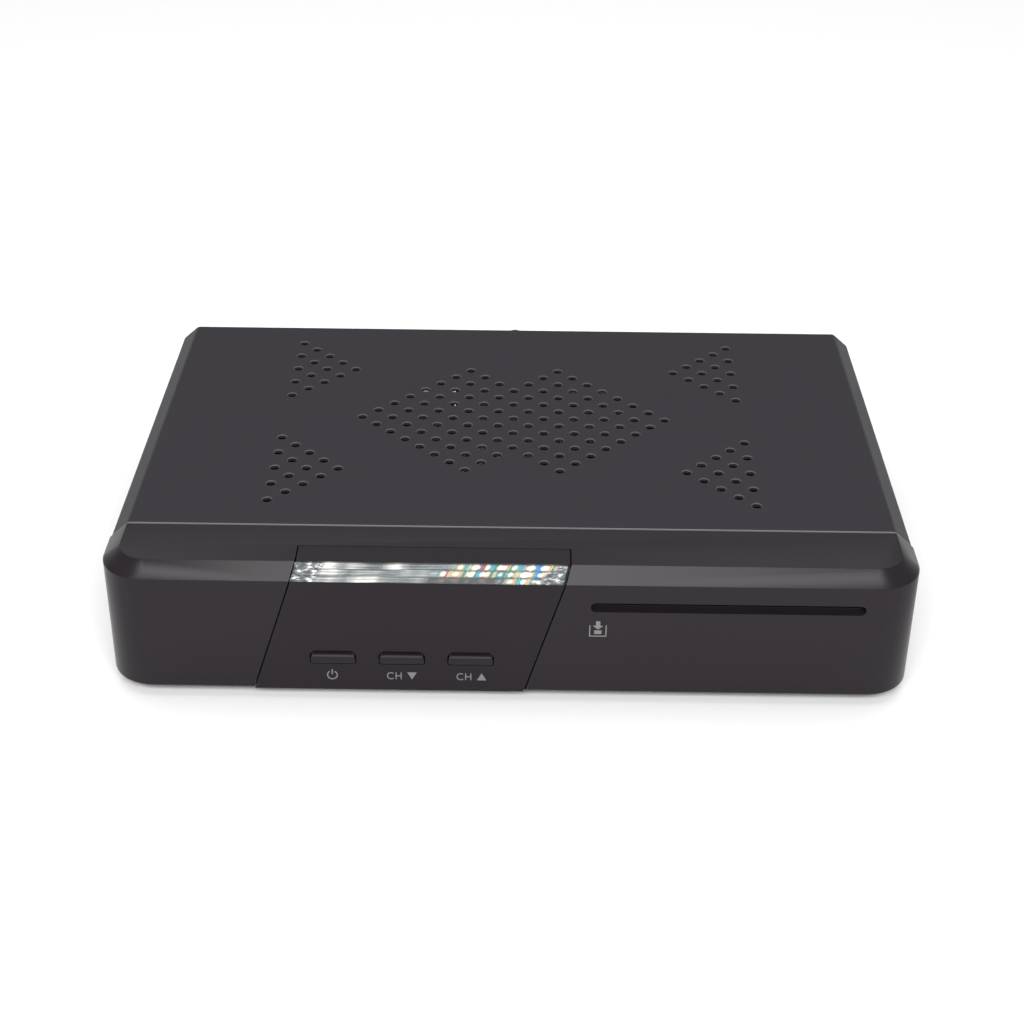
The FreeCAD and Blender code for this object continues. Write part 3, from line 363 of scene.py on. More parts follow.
def plated(name, colour, roughness, brushed=0.0):
    """Plated or bare metal with faint smears and, if wanted, brush lines."""
    material, nodes, links, shader = new_material(name)
    group = place_group(nodes, grain_group(), Cloudiness=0.35, Roughness=roughness,
                        Colour=(*colour, 1.0), Grain_per_metre=2500.0)
    links.new(group.outputs["Colour"], shader.inputs["Base Color"])
    links.new(group.outputs["Roughness"], shader.inputs["Roughness"])
    bump = nodes.new("ShaderNodeBump")
    bump.inputs["Strength"].default_value = 0.5
    bump.inputs["Distance"].default_value = 0.004 * MM + brushed * MM
    links.new(group.outputs["Height"], bump.inputs["Height"])
    links.new(bump.outputs["Normal"], shader.inputs["Normal"])
    shader.inputs["Metallic"].default_value = 1.0
    return material


def two_tone(name, side_colour, top_colour, height, roughness, metallic_top=1.0):
    """Sleeve colour up to a height and bare metal over it."""
    material, nodes, links, shader = new_material(name)
    mask = math_node(nodes, links, "GREATER_THAN", part_place(nodes, links)["Z"], height)
    grain = place_group(nodes, grain_group(), Cloudiness=0.2, Roughness=roughness)
    links.new(blend(nodes, links, mask, side_colour, top_colour), shader.inputs["Base Color"])
    metal = math_node(nodes, links, "MULTIPLY", mask, metallic_top)
    links.new(metal, shader.inputs["Metallic"])
    links.new(grain.outputs["Roughness"], shader.inputs["Roughness"])
    return material


def circuit_board():
    """Green solder mask with copper tracks under it and small tinned pads."""
    material, nodes, links, shader = new_material("circuit_board")
    place = nodes.new("ShaderNodeTexCoord")
    tracks = nodes.new("ShaderNodeTexBrick")
    tracks.inputs["Scale"].default_value = 220.0
    tracks.inputs["Mortar Size"].default_value = 0.035
    tracks.inputs["Color1"].default_value = (0.012, 0.060, 0.028, 1.0)
    tracks.inputs["Color2"].default_value = (0.016, 0.085, 0.038, 1.0)
    tracks.inputs["Mortar"].default_value = (0.030, 0.140, 0.060, 1.0)
    links.new(place.outputs["Object"], tracks.inputs["Vector"])
    pads = nodes.new("ShaderNodeTexVoronoi")
    pads.inputs["Scale"].default_value = 420.0
    pads.inputs["Randomness"].default_value = 0.35
    links.new(place.outputs["Object"], pads.inputs["Vector"])
    pad = math_node(nodes, links, "LESS_THAN", pads.outputs["Distance"], 0.17)
    tinned = blend(nodes, links, pad, tracks.outputs["Color"], (0.62, 0.60, 0.55))
    links.new(tinned, shader.inputs["Base Color"])
    links.new(pad, shader.inputs["Metallic"])
    shader.inputs["Roughness"].default_value = 0.35
    return material


def ramp(nodes, links, factor, stops):
    """Colour ramp with its stops as (place, colour)."""
    node = nodes.new("ShaderNodeValToRGB")
    links.new(factor, node.inputs["Fac"])
    band = node.color_ramp
    while len(band.elements) < len(stops):
        band.elements.new(0.5)
    for element, (place, colour) in zip(band.elements, stops):
        element.position = place
        element.color = (*colour, 1.0)
    return node.outputs["Color"]


def rise(nodes, links, value, low, high):
    """Straight rise from 0 to 1 between two values, also downwards."""
    node = nodes.new("ShaderNodeMapRange")
    node.inputs["From Min"].default_value = low
    node.inputs["From Max"].default_value = high
    links.new(value, node.inputs["Value"])
    return node.outputs["Result"]


def bar_noise(nodes, links, along, across, along_scale, across_scale, seed, detail=1.5):
    """Smooth noise in the plane of the bar."""
    x = math_node(nodes, links, "MULTIPLY", along, along_scale)
    y = math_node(nodes, links, "MULTIPLY_ADD", across, across_scale, seed)
    joined = nodes.new("ShaderNodeCombineXYZ")
    links.new(x, joined.inputs["X"])
    links.new(y, joined.inputs["Y"])
    noise = nodes.new("ShaderNodeTexNoise")
    noise.inputs["Scale"].default_value = 1.0
    noise.inputs["Detail"].default_value = detail
    noise.inputs["Roughness"].default_value = 0.55
    links.new(joined.outputs[0], noise.inputs["Vector"])
    return noise.outputs["Fac"]


def foil_streaks(nodes, links, along, height, row):
    """Pale streaks along the ribs, their palest parts painted highlights."""
    streak = bar_noise(nodes, links, along, row, 170.0, 5.3, 1.7)
    line = bar_noise(nodes, links, along, height, 60.0, 16.0, 8.1, 3.0)
    streak = math_node(nodes, links, "MULTIPLY_ADD", line, 0.8, streak)
    return ramp(nodes, links, rise(nodes, links, streak, 0.55, 1.25), [
        (0.00, (0.016, 0.020, 0.026)), (0.30, (0.055, 0.064, 0.068)), (0.46, (0.130, 0.155, 0.160)),
        (0.58, (0.240, 0.240, 0.235)), (0.70, (0.380, 0.370, 0.355)), (0.84, (1.00, 0.98, 0.93))])


def foil_spots(nodes, links, u, along, row, v):
    """Cream spots with coloured gaps between them, dull along the left part of the lowest rib."""
    step = math_node(nodes, links, "DIVIDE", along, settings().light_bar.spot_pitch)
    wander = bar_noise(nodes, links, along, row, 240.0, 3.1, 4.4)
    step = math_node(nodes, links, "MULTIPLY_ADD", wander, 1.5, step)
    spot = math_node(nodes, links, "FRACT", step)
    spot = math_node(nodes, links, "MULTIPLY_ADD", spot, 2.0, -1.0)
    across = math_node(nodes, links, "MULTIPLY", v, v)
    away = math_node(nodes, links, "MULTIPLY", spot, spot)
    away = math_node(nodes, links, "MULTIPLY_ADD", away, 1.7, across)
    size = bar_noise(nodes, links, along, row, 330.0, 9.7, 2.6)
    away = math_node(nodes, links, "MULTIPLY_ADD", size, 1.5, away)
    cream = rise(nodes, links, away, 1.40, 0.70)
    hue = bar_noise(nodes, links, along, row, 520.0, 4.7, 23.1)
    hue = rise(nodes, links, hue, 0.28, 0.72)
    colours = ramp(nodes, links, hue, [
        (0.00, (0.020, 0.035, 0.22)), (0.16, (0.020, 0.14, 0.42)), (0.30, (0.035, 0.30, 0.38)),
        (0.43, (0.025, 0.13, 0.070)), (0.54, (0.34, 0.36, 0.22)), (0.66, (0.56, 0.26, 0.10)),
        (0.80, (0.15, 0.055, 0.075)), (1.00, (0.17, 0.16, 0.38))])
    spots = blend(nodes, links, cream, colours, (0.92, 0.85, 0.72))
    lowest = math_node(nodes, links, "LESS_THAN", row, 0.5)
    dull = math_node(nodes, links, "MULTIPLY", lowest, rise(nodes, links, u, 0.82, 0.74))
    dull = math_node(nodes, links, "MULTIPLY", dull, 0.95)
    return blend(nodes, links, dull, spots, (0.018, 0.018, 0.018))


def foil_crumbs(nodes, links, along, height):
    """Rough, sharply lit crumbs of the foil's ends."""
    crumb = bar_noise(nodes, links, along, height, 620.0, 7.0, 3.3, 2.0)
    return ramp(nodes, links, crumb, [
        (0.42, (0.022, 0.026, 0.034)), (0.52, (0.10, 0.115, 0.125)), (0.60, (0.34, 0.35, 0.34)),
        (0.68, (0.88, 0.88, 0.84))])


def bright_foil():
    """Bright foil: pale streaks at the left, a row of many-coloured spots at the right, rough ends, all lit
    by a painted glow.
    """
    material, nodes, links, shader = new_material("bright_foil")
    sizes = settings().light_bar
    place = part_place(nodes, links)
    # Places on the bar: u runs along it, row counts its ribs from the chamfer's foot, v crosses one rib
    height = rise(nodes, links, place["Z"], TOP - CHAMFER_DROP - FOIL_DROP, TOP - FOIL_DROP)
    lean = math_node(nodes, links, "MULTIPLY", height, 2.0 * LEAN_LEFT * CHAMFER_DROP)
    along = math_node(nodes, links, "SUBTRACT", place["X"], lean)
    u = rise(nodes, links, along, BAR_LOW.x, BAR_HIGH.x - LEAN_RIGHT * CHAMFER_DROP)
    rib = math_node(nodes, links, "MULTIPLY", height, float(sizes.ribs))
    row = math_node(nodes, links, "FLOOR", rib)
    v = math_node(nodes, links, "FRACT", rib)
    v = math_node(nodes, links, "MULTIPLY_ADD", v, 2.0, -1.0)
    streaks = foil_streaks(nodes, links, along, height, row)
    spots = foil_spots(nodes, links, u, along, row, v)
    right = rise(nodes, links, math_node(nodes, links, "MULTIPLY_ADD", row, -0.05, u), 0.44, 0.50)
    slanted = math_node(nodes, links, "MULTIPLY_ADD", row, -0.028, u)
    end = math_node(nodes, links, "MAXIMUM", rise(nodes, links, u, 0.100, 0.075),
                    rise(nodes, links, slanted, 0.865, 0.890))
    pattern = blend(nodes, links, right, streaks, spots)
    pattern = blend(nodes, links, end, pattern, foil_crumbs(nodes, links, along, height))
    # Painted shade in the grooves between the ribs: the foil's colour darkens towards each rib's edges
    side = math_node(nodes, links, "ABSOLUTE", v)
    groove = rise(nodes, links, side, 1.0, 0.62)
    shade = math_node(nodes, links, "MULTIPLY_ADD", groove, 0.70, 0.30)
    shaded = nodes.new("ShaderNodeVectorMath")
    shaded.operation = "SCALE"
    links.new(pattern, shaded.inputs[0])
    links.new(shade, shaded.inputs["Scale"])
    links.new(shaded.outputs[0], shader.inputs["Base Color"])
    # Emission: the foil glows with painted light in place of the light it reflects
    links.new(shaded.outputs[0], shader.inputs["Emission Color"])
    shader.inputs["Emission Strength"].default_value = sizes.painted_glow
    shader.inputs["Specular IOR Level"].default_value = 0.2
    shader.inputs["Roughness"].default_value = 0.45
    return material


def clear_plastic():
    """Clear moulded plastic of the light bar, a little scratched."""
    material, nodes, links, shader = new_material("clear_plastic")
    place = nodes.new("ShaderNodeTexCoord")
    stretch = nodes.new("ShaderNodeMapping")
    stretch.inputs["Scale"].default_value = (180.0, 1400.0, 1400.0)
    links.new(place.outputs["Object"], stretch.inputs["Vector"])
    noise = nodes.new("ShaderNodeTexNoise")
    noise.inputs["Scale"].default_value = 1.0
    noise.inputs["Detail"].default_value = 3.0
    links.new(stretch.outputs["Vector"], noise.inputs["Vector"])
    bump = nodes.new("ShaderNodeBump")
    bump.inputs["Strength"].default_value = 0.6
    bump.inputs["Distance"].default_value = 0.03 * MM
    links.new(noise.outputs["Fac"], bump.inputs["Height"])
    links.new(bump.outputs["Normal"], shader.inputs["Normal"])
    clear = math_node(nodes, links, "MULTIPLY_ADD", noise.outputs["Fac"], 0.08, 0.02)
    links.new(clear, shader.inputs["Alpha"])
    shader.inputs["Base Color"].default_value = (0.30, 0.33, 0.34, 1.0)
    shader.inputs["Roughness"].default_value = 0.08
    return material


def make_materials():
    """Every finish of the receiver, by the name of its slot in the record."""
    case = settings().case
    grain = case.grain_size
    cover = tuple(case.cover_colour)
    bezel = tuple(case.bezel_colour)
    tray = tuple(case.tray_colour)
    button = tuple(channel * 1.02 for channel in bezel)
    black = (0.012, 0.012, 0.013)
    cap = frame["nodes"]["power_button"].data.vertices
    lip = max(vert.co.z for vert in cap if vert.co.y < FRONT - 0.1 * MM)
    cover_paint = grained("cover_paint", cover, 0.44, grain, 0.006 * MM, dust=0.10, specular=0.11)
    button_plastic = grained("button_plastic", button, 0.32, grain, 0.003 * MM, specular=0.11)
    return {
        # The cover's hole rims and front edge get a paler colour: bare metal and painted highlight in one
        "cover_paint": bare_metal_and_highlight_edges(cover_paint, tuple(case.edge_metal_and_highlight_colour)),
        "tray_steel": grained("tray_steel", tray, 0.42, grain, 0.006 * MM, specular=0.11),
        "bezel_plastic": grained("bezel_plastic", bezel, 0.32, grain, 0.004 * MM, specular=0.15),
        "panel_plastic": grained("panel_plastic", bezel, 0.32, grain, 0.003 * MM, specular=0.11),
        # Buttons: a paler band just under the upper edge, a painted highlight
        "button_plastic": painted_lip_highlight(button_plastic, lip - 0.70 * MM, lip - 0.12 * MM, (0.055, 0.050, 0.053)),
        "clear_bar": clear_plastic(),
        "bright_foil": bright_foil(),
        "black_plastic": grained("black_plastic", black, 0.45, grain, 0.010 * MM),
        "board_green": circuit_board(),
        "led_lens": grained("led_lens", (0.75, 0.76, 0.72), 0.15, grain, 0.002 * MM),
        "dark_lens": grained("dark_lens", (0.015, 0.006, 0.008), 0.10, grain, 0.002 * MM),
        "gold_contact": plated("gold_contact", (0.90, 0.66, 0.26), 0.22),
        "brass_spacer": plated("brass_spacer", (0.78, 0.58, 0.30), 0.30),
        "zinc_screw": plated("zinc_screw", (0.66, 0.66, 0.64), 0.28),
        "black_screw": plated("black_screw", (0.05, 0.05, 0.05), 0.35),
        "foot_rubber": grained("foot_rubber", (0.020, 0.020, 0.021), 0.80, grain, 0.03 * MM),
        "sink_aluminium": plated("sink_aluminium", (0.70, 0.70, 0.72), 0.38),
        "capacitor_can": two_tone("capacitor_can", (0.020, 0.022, 0.040), (0.80, 0.80, 0.80),
                                  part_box("capacitors")[1][2] - 0.6 * MM, 0.25),
        "coil_copper": plated("coil_copper", (0.72, 0.27, 0.12), 0.30),
        "plated_steel": plated("plated_steel", (0.68, 0.67, 0.64), 0.28),
        "white_plastic": grained("white_plastic", (0.72, 0.72, 0.70), 0.40, grain, 0.006 * MM),
        "orange_plastic": grained("orange_plastic", (0.80, 0.20, 0.02), 0.35, grain, 0.006 * MM),
        "ribbon_white": grained("ribbon_white", (0.68, 0.68, 0.70), 0.45, grain, 0.006 * MM),
        "mark_ink": grained("mark_ink", tuple(settings().marks.mark_colour), 0.55, grain, 0.002 * MM),
    }


FINISHES = {}


def finish(slot):
    """The finish of a slot, made once."""
    if not FINISHES:
        FINISHES.update(make_materials())
    return FINISHES[slot]


NODE_SLOTS = {part["node"]: part["material_slot"] for part in frame["record"]["subparts"]}


# Mesh tools

def smooth(mesh, angle=35.0):
    """Smooth shading with sharp edges kept past an angle."""
    mesh.polygons.foreach_set("use_smooth", [True] * len(mesh.polygons))
    mesh.set_sharp_from_angle(angle=math.radians(angle))


def add_piece(name, bm, body, slot, *nodes):
    """Object from a bmesh that rides on a body, has a slot's finish and may stand for CAD nodes."""
    mesh = bpy.data.meshes.new(name)
    bm.to_mesh(mesh)
    bm.free()
    smooth(mesh)
    piece = bpy.data.objects.new(name, mesh)
    bpy.context.scene.collection.objects.link(piece)
    mesh.materials.append(finish(slot))
    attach(piece, body)
    if nodes:
        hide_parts(*nodes)
    return piece


def clean_copy(node):
    """The node's mesh as a bmesh, its doubles merged and its flat faces joined."""
    bm = bmesh.new()
    bm.from_mesh(frame["nodes"][node].data)
    bmesh.ops.remove_doubles(bm, verts=bm.verts, dist=0.001 * MM)
    bmesh.ops.dissolve_limit(bm, angle_limit=math.radians(0.4), verts=bm.verts, edges=bm.edges)
    return bm


def soft_edges(piece, width, segments=2, angle=28.0):
    """Round a piece's sharp edges."""
    bevel = piece.modifiers.new("soft_edges", "BEVEL")
    bevel.width = width
    bevel.segments = segments
    bevel.limit_method = "ANGLE"
    bevel.angle_limit = math.radians(angle)
    bevel.harden_normals = True
    bevel.use_clamp_overlap = True


def body_of(node):
    """The body that a node belongs to."""
    for body, members in frame["record"]["behaviour"]["bodies"].items():
        if node in members:
            return body
    raise ValueError("no body holds " + node)


def softened(node, width, segments=2):
    """A node's own shape with its sharp edges rounded, in place of the node."""
    piece = add_piece(node + "_soft", clean_copy(node), body_of(node), NODE_SLOTS[node], node)
    soft_edges(piece, width, segments)
    return piece


def dress(*nodes):
    """Give nodes that stay as they are the finish of their slot."""
    for node in nodes:
        mesh = frame["nodes"][node].data
        mesh.materials.clear()
        mesh.materials.append(finish(NODE_SLOTS[node]))


# Shapes

LEAN_LEFT = 9.9 / 30.2
LEAN_RIGHT = 9.2 / 30.2
CHAMFER_LENGTH = math.hypot(CHAMFER_RUN, CHAMFER_DROP)
CHAMFER_OUT = Vector((0.0, -CHAMFER_DROP, CHAMFER_RUN)) / CHAMFER_LENGTH
CHAMFER_UP = Vector((0.0, CHAMFER_RUN, CHAMFER_DROP)) / CHAMFER_LENGTH
CHAMFER_FOOT = Vector((0.0, FRONT, TOP - CHAMFER_DROP))
# How much lower than the chamfer's face the foil lies, straight down
FOIL_DROP = 2.0 * MM * CHAMFER_RUN / CHAMFER_LENGTH


def loft_along_x(outline, length):
    """Closed outline in the YZ plane, pulled along X from zero."""
    bm = bmesh.new()
    loop = [bm.verts.new(point) for point in outline]
    face = bm.faces.new(loop)
    pulled = bmesh.ops.extrude_face_region(bm, geom=[face])
    moved = [item for item in pulled["geom"] if isinstance(item, bmesh.types.BMVert)]
    bmesh.ops.translate(bm, verts=moved, vec=Vector((length, 0.0, 0.0)))
    bmesh.ops.recalc_face_normals(bm, faces=bm.faces)
    return bm


def rib_outline(ribs, rise, depth, steps=8):
    """Section of the light bar: rounded ribs outside and a flat back."""
    points = []
    for rib in range(ribs):
        for step in range(steps + 1):
            if rib and not step:
                continue
            share = (rib + step / steps) / ribs
            swell = math.sin(math.pi * step / steps) - 1.0
            points.append(CHAMFER_FOOT + CHAMFER_UP * CHAMFER_LENGTH * share + CHAMFER_OUT * rise * swell)
    points.append(CHAMFER_FOOT + CHAMFER_UP * CHAMFER_LENGTH - CHAMFER_OUT * depth)
    points.append(CHAMFER_FOOT - CHAMFER_OUT * depth)
    return points


def lean_ends(bm, low, high):
    """Slant both ends of a bar that runs from x = 0 to x = 1 mm, to the panel's two edges."""
    for vert in bm.verts:
        left = low.x + (vert.co.z - low.z) * LEAN_LEFT
        right = high.x - (high.z - vert.co.z) * LEAN_RIGHT
        share = vert.co.x / MM
        vert.co.x = left + (right - left) * share


def flat_shape(outline, y, thickness):
    """Thin plate on the front: an outline of (x, z) points, standing out from a face at y."""
    bm = bmesh.new()
    face = bm.faces.new([bm.verts.new((x, y, z)) for x, z in outline])
    pulled = bmesh.ops.extrude_face_region(bm, geom=[face])
    moved = [item for item in pulled["geom"] if isinstance(item, bmesh.types.BMVert)]
    bmesh.ops.translate(bm, verts=moved, vec=Vector((0.0, -thickness, 0.0)))
    bmesh.ops.recalc_face_normals(bm, faces=bm.faces)
    return bm


def ring_outline(x, z, radius, stroke, start, end, steps=40):
    """Open ring as one outline, from one angle to another, in degrees from the top, clockwise."""
    outer, inner = [], []
    for step in range(steps + 1):
        angle = math.radians(start + (end - start) * step / steps)
        for side, reach in ((outer, radius + stroke / 2), (inner, radius - stroke / 2)):
            side.append((x + reach * math.sin(angle), z + reach * math.cos(angle)))
    return outer + inner[::-1]


def bar_outline(x0, x1, z0, z1):
    """Upright rectangle as an outline."""
    return [(x0, z0), (x1, z0), (x1, z1), (x0, z1)]


def join(meshes):
    """One bmesh from several."""
    whole = bmesh.new()
    for part in meshes:
        mesh = bpy.data.meshes.new("part")
        part.to_mesh(mesh)
        part.free()
        whole.from_mesh(mesh)
        bpy.data.meshes.remove(mesh)
    return whole


def letters(text, height, width, x, y, z, thickness):
    """Plain capital letters as a thin solid of a given width, their lower left corner on the front."""
    curve = bpy.data.curves.new(text, "FONT")
    curve.body = text
    curve.size = height / 0.70
    curve.space_character = 1.12
    curve.extrude = thickness / 2
    holder = bpy.data.objects.new(text, curve)
    mesh = bpy.data.meshes.new_from_object(holder)
    bpy.data.objects.remove(holder)
    bm = bmesh.new()
    bm.from_mesh(mesh)
    bpy.data.meshes.remove(mesh)
    bpy.data.curves.remove(curve)
    left = min(vert.co.x for vert in bm.verts)
    right = max(vert.co.x for vert in bm.verts)
    for vert in bm.verts:
        vert.co.x = (vert.co.x - left) * width / (right - left)
    turn = Matrix.Rotation(math.radians(90.0), 4, "X")
    bmesh.ops.transform(bm, matrix=Matrix.Translation((x, y - thickness / 2, z)) @ turn, verts=bm.verts)
    return bm


def spun(profile, centre, steps=48):
    """Ring from a closed profile of (radius, y) points, spun about the Y axis through a centre."""
    bm = bmesh.new()
    loop = [bm.verts.new((centre.x + radius, y, centre.z)) for radius, y in profile]
    edges = [bm.edges.new((loop[n], loop[(n + 1) % len(loop)])) for n in range(len(loop))]
    bmesh.ops.spin(bm, geom=loop + edges, cent=(centre.x, 0.0, centre.z), axis=(0.0, 1.0, 0.0),
                   angle=math.tau, steps=steps, use_merge=True)
    bmesh.ops.remove_doubles(bm, verts=bm.verts, dist=0.0005 * MM)
    bmesh.ops.recalc_face_normals(bm, faces=bm.faces)
    return bm


# Operators, one for each piece or group of like pieces

class RECEIVER_OT_case(bpy.types.Operator):
    """Round the edges of the front, the panel and the tray, and give the cover its finish."""
    bl_idname = "receiver.case"
    bl_label = "Case"

    def execute(self, context):
        radius = settings().case.edge_radius
        softened("front_bezel", radius)
        softened("centre_panel", radius * 0.6)
        softened("chassis_tray", 0.1 * MM, 1)
        dress("top_cover")
        return {"FINISHED"}


class RECEIVER_OT_buttons(bpy.types.Operator):
    """Round the three caps and give the switches their finish."""
    bl_idname = "receiver.buttons"
    bl_label = "Buttons"

    def execute(self, context):
        for name in ("power", "channel_down", "channel_up"):
            softened(name + "_button", 0.12 * MM)
            dress(name + "_switch_stem")
        dress("tact_switches")
        return {"FINISHED"}


class RECEIVER_OT_light_bar(bpy.types.Operator):
    """Ribbed clear bar over its bright foil."""
    bl_idname = "receiver.light_bar"
    bl_label = "Light bar"

    def execute(self, context):
        sizes = settings().light_bar
        bar = loft_along_x(rib_outline(sizes.ribs, sizes.rib_rise, 1.9 * MM), MM)
        lean_ends(bar, BAR_LOW, BAR_HIGH)
        add_piece("light_bar_clear", bar, "case", "clear_bar", "light_bar")
        dress("light_bar_foil")
        return {"FINISHED"}


class RECEIVER_OT_marks(bpy.types.Operator):
    """Printed marks: the power sign, the channel signs and the card sign."""
    bl_idname = "receiver.marks"
    bl_label = "Marks"

    def execute(self, context):
        sizes = settings().marks
        ink = sizes.ink_thickness
        drop = 4.5 * MM
        centres = {}
        for name in ("power", "channel_down", "channel_up"):
            low, high = (Vector(corner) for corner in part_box(name + "_button"))
            centres[name] = (low + high) / 2
        row = centres["power"].z - drop
        x = centres["power"].x - 0.3 * MM
        stroke = 0.26 * MM
        ring = flat_shape(ring_outline(x, row, 1.02 * MM, stroke, 28.0, 332.0), FRONT, ink)
        upright = bar_outline(x - stroke / 2, x + stroke / 2, row + 0.15 * MM, row + 1.45 * MM)
        bar = flat_shape(upright, FRONT, ink)
        add_piece("power_mark", join([ring, bar]), "case", "mark_ink")
        tall = sizes.letter_height
        for name, up, start in (("channel_down", -1.0, -3.2 * MM), ("channel_up", 1.0, -2.95 * MM)):
            x = centres[name].x + start
            word = letters("CH", tall, sizes.word_width, x, FRONT, row - tall / 2, ink)
            middle = x + sizes.word_width + 2.15 * MM
            tip = (middle, row + up * tall / 2)
            base = row - up * tall / 2
            arrow = flat_shape([tip, (middle - 1.0 * MM, base), (middle + 1.0 * MM, base)], FRONT, ink)
            add_piece(name + "_mark", join([word, arrow]), "case", "mark_ink")
        add_piece("card_mark", self.card_sign(ink), "case", "mark_ink")
        return {"FINISHED"}

    def card_sign(self, ink):
        """Small card with its chip, and an arrow into the slot."""
        left, right = 16.4 * MM, 20.0 * MM
        low, high = TOP - 15.9 * MM, TOP - 12.1 * MM
        line = 0.24 * MM
        sides = high - 1.0 * MM
        middle = (left + right) / 2
        chip_low, chip_high, chip_half = low + 0.65 * MM, low + 1.55 * MM, 0.75 * MM
        tip, neck, head_half, shaft_half = low + 1.75 * MM, low + 2.7 * MM, 1.1 * MM, 0.45 * MM
        shapes = [
            bar_outline(left, left + line, low, sides),
            bar_outline(right - line, right, low, sides),
            bar_outline(left + line, right - line, low, low + line),
            bar_outline(middle - chip_half, middle + chip_half, chip_low, chip_high),
            [(middle, tip), (middle + head_half, neck), (middle - head_half, neck)],
            bar_outline(middle - shaft_half, middle + shaft_half, neck, high),
        ]
        return join([flat_shape(shape, FRONT, ink) for shape in shapes])


class RECEIVER_OT_sockets(bpy.types.Operator):
    """Sockets on the back: threads, folded shells and barrels."""
    bl_idname = "receiver.sockets"
    bl_label = "Sockets"

    def execute(self, context):
        low, high = (Vector(corner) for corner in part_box("aerial_sockets"))
        radius = (high.z - low.z) / 2
        z = (low.z + high.z) / 2
        parts = []
        for x in (low.x + radius, high.x - radius):
            parts.append(spun(self.thread_profile(low.y, high.y, radius), Vector((x, 0.0, z))))
        add_piece("aerial_threads", join(parts), "case", "plated_steel", "aerial_sockets")
        for node in ("aerial_nuts", "hdmi_socket", "network_socket", "usb_socket", "digital_socket",
                     "av_socket", "power_socket"):
            softened(node, 0.12 * MM, 1)
        dress("aerial_insulators", "aerial_washers", "network_contacts", "usb_tongue", "digital_barrel",
              "digital_core", "power_pin", "tuner_can")
        return {"FINISHED"}

    def thread_profile(self, root, tip, radius):
        """Outline of a threaded barrel with a hollow mouth, as (radius, y) points."""
        bore = radius - 0.9 * MM
        depth = 0.45 * MM
        pitch = 0.79 * MM
        start = tip - 8.4 * MM
        floor = tip - 9.0 * MM
        core = 0.2 * MM
        points = [(bore, tip), (bore, floor), (core, floor), (core, root), (radius, root)]
        points += [(radius, start - 0.8 * MM), (radius - depth, start - 0.6 * MM)]
        y = start
        while y + pitch < tip - 0.4 * MM:
            points += [(radius - depth, y), (radius, y + pitch * 0.4), (radius, y + pitch * 0.55)]
            y += pitch
        points += [(radius - depth, y), (radius - depth, tip)]
        return points


class RECEIVER_OT_boards(bpy.types.Operator):
    """Boards and their parts, seen through the vent holes."""
    bl_idname = "receiver.boards"
    bl_label = "Boards"

    def execute(self, context):
        dress("front_board", "main_board", "card_board", "card_reader", "card_contacts", "card_spacers",
              "board_header", "processor", "heat_sink", "memory_chips", "capacitors", "power_coils",
              "crystal", "indicator_leds", "infrared_receiver", "ribbon_sockets", "ribbon_cable")
        return {"FINISHED"}


class RECEIVER_OT_fasteners(bpy.types.Operator):
    """Screws and feet."""
    bl_idname = "receiver.fasteners"
    bl_label = "Screws and feet"

    def execute(self, context):
        dress("board_screws", "bezel_screws", "cover_screw", "rubber_feet")
        return {"FINISHED"}


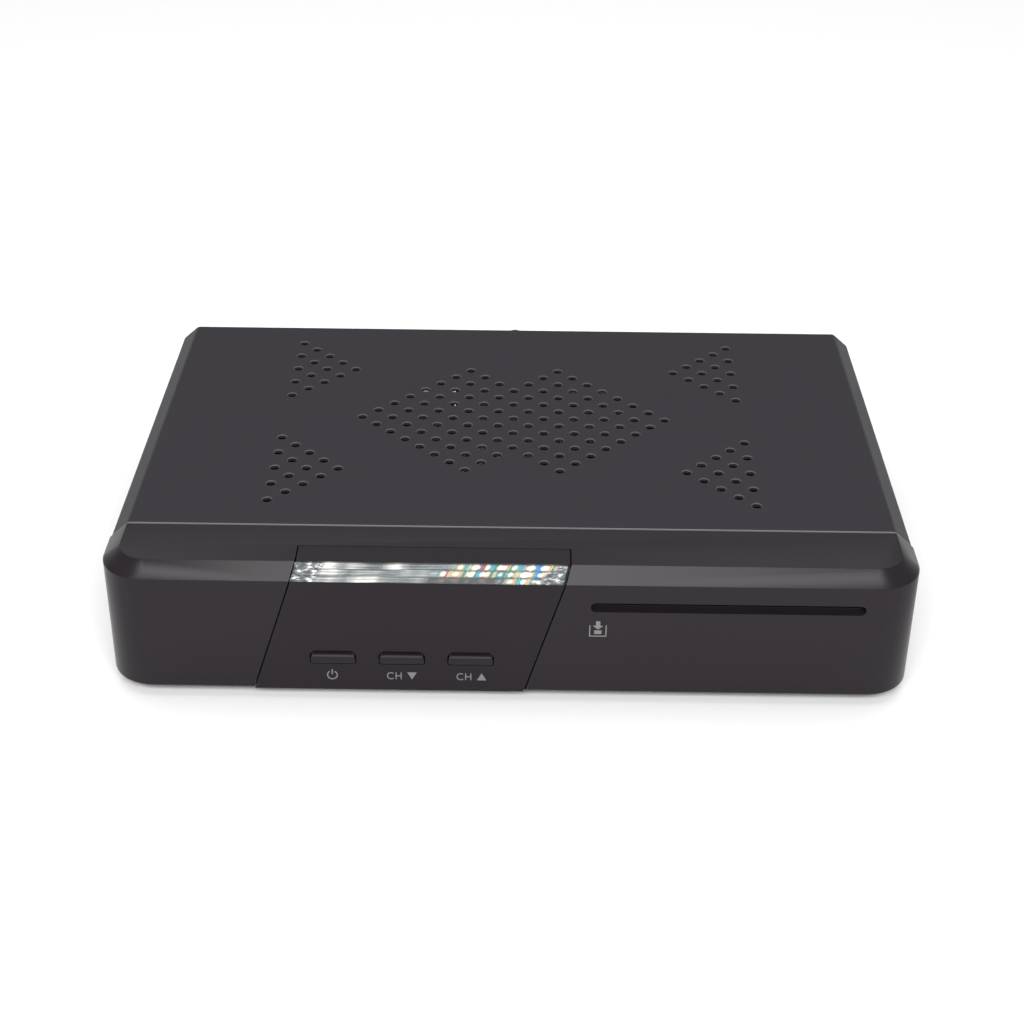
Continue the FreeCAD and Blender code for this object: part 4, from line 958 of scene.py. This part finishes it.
class RECEIVER_OT_studio(bpy.types.Operator):
    """Pale floor, soft lights, room light and the camera."""
    bl_idname = "receiver.studio"
    bl_label = "Studio"

    def execute(self, context):
        self.floor()
        self.lights()
        self.camera()
        return {"FINISHED"}

    def floor(self):
        bm = bmesh.new()
        bmesh.ops.create_grid(bm, x_segments=1, y_segments=1, size=6.0)
        mesh = bpy.data.meshes.new("floor")
        bm.to_mesh(mesh)
        bm.free()
        floor = bpy.data.objects.new("floor", mesh)
        bpy.context.scene.collection.objects.link(floor)
        material, nodes, links, shader = new_material("pale_floor")
        shader.inputs["Base Color"].default_value = (0.86, 0.86, 0.86, 1.0)
        shader.inputs["Roughness"].default_value = 0.7
        mesh.materials.append(material)

    def light(self, name, place, target, width, height, power):
        """Soft rectangular light aimed at a point."""
        lamp = bpy.data.lights.new(name, "AREA")
        lamp.shape = "RECTANGLE"
        lamp.size = width
        lamp.size_y = height
        lamp.energy = power
        holder = bpy.data.objects.new(name, lamp)
        holder.location = place
        holder.rotation_euler = (Vector(target) - Vector(place)).to_track_quat("-Z", "Y").to_euler()
        bpy.context.scene.collection.objects.link(holder)

    def lights(self):
        sizes = settings().studio
        middle = (0.0, 0.0, 0.02)
        self.light("key_light", (0.0, -0.84, 0.70), middle, 0.98, 0.34, sizes.key_power)
        self.light("top_light", (0.0, 0.80, 1.50), (0.0, 0.80, 0.0), 2.20, 2.20, sizes.top_power)
        for name, side in (("left_light", -1.0), ("right_light", 1.0)):
            self.light(name, (side * 1.25, 1.30, 0.22), middle, 1.60, 0.44, sizes.rear_power)
        world = bpy.data.worlds.new("room")
        world.use_nodes = True
        background = world.node_tree.nodes["Background"]
        background.inputs["Color"].default_value = (1.0, 1.0, 1.0, 1.0)
        background.inputs["Strength"].default_value = sizes.world_strength
        bpy.context.scene.world = world
        bpy.context.scene.view_settings.view_transform = "Standard"

    def camera(self):
        """Camera fitted to the photographed view."""
        lens = bpy.data.cameras.new("camera")
        lens.sensor_width = 36.0
        lens.lens = settings().studio.lens
        lens.shift_x = 0.0098
        lens.shift_y = 0.0440
        lens.clip_start = 0.01
        right = Vector((0.99987, 0.01515, 0.00619))
        up = Vector((-0.01331, 0.53216, 0.84654))
        back = Vector((0.00953, -0.84651, 0.53229))
        grid_middle = FRONT + 65.6 * MM
        place = Vector((1.89 * MM, grid_middle - 381.61 * MM, TOP + 201.88 * MM))
        turn = Matrix((right, up, back)).transposed().to_4x4()
        holder = bpy.data.objects.new("camera", lens)
        holder.matrix_world = Matrix.Translation(place) @ turn
        bpy.context.scene.collection.objects.link(holder)
        bpy.context.scene.camera = holder


class RECEIVER_PT_sidebar(bpy.types.Panel):
    """Lists the receiver's pieces and settings."""
    bl_idname = "RECEIVER_PT_sidebar"
    bl_label = "Satellite Receiver"
    bl_space_type = "VIEW_3D"
    bl_region_type = "UI"
    bl_category = "Receiver"

    def draw(self, context):
        layout = self.layout
        for operator in OPERATORS:
            layout.operator(operator.bl_idname)
        for group in (settings().case, settings().light_bar, settings().marks, settings().studio):
            column = layout.column()
            for name in group.bl_rna.properties.keys():
                if name not in ("rna_type", "name"):
                    column.prop(group, name)


OPERATORS = (RECEIVER_OT_case, RECEIVER_OT_buttons, RECEIVER_OT_light_bar, RECEIVER_OT_marks,
             RECEIVER_OT_sockets, RECEIVER_OT_boards, RECEIVER_OT_fasteners, RECEIVER_OT_studio)
CLASSES = (CaseSettings, LightBarSettings, MarkSettings, StudioSettings, ReceiverSettings,
           *OPERATORS, RECEIVER_PT_sidebar)


def register():
    """Add the receiver's classes and settings."""
    for cls in CLASSES:
        bpy.utils.register_class(cls)
    bpy.types.Scene.receiver_settings = PointerProperty(type=ReceiverSettings)


def unregister():
    """Remove them again."""
    del bpy.types.Scene.receiver_settings
    for cls in reversed(CLASSES):
        bpy.utils.unregister_class(cls)


def main():
    """Build every piece."""
    register()
    bpy.ops.receiver.case()
    bpy.ops.receiver.buttons()
    bpy.ops.receiver.light_bar()
    bpy.ops.receiver.marks()
    bpy.ops.receiver.sockets()
    bpy.ops.receiver.boards()
    bpy.ops.receiver.fasteners()
    bpy.ops.receiver.studio()


if __name__ == "__main__":
    main()
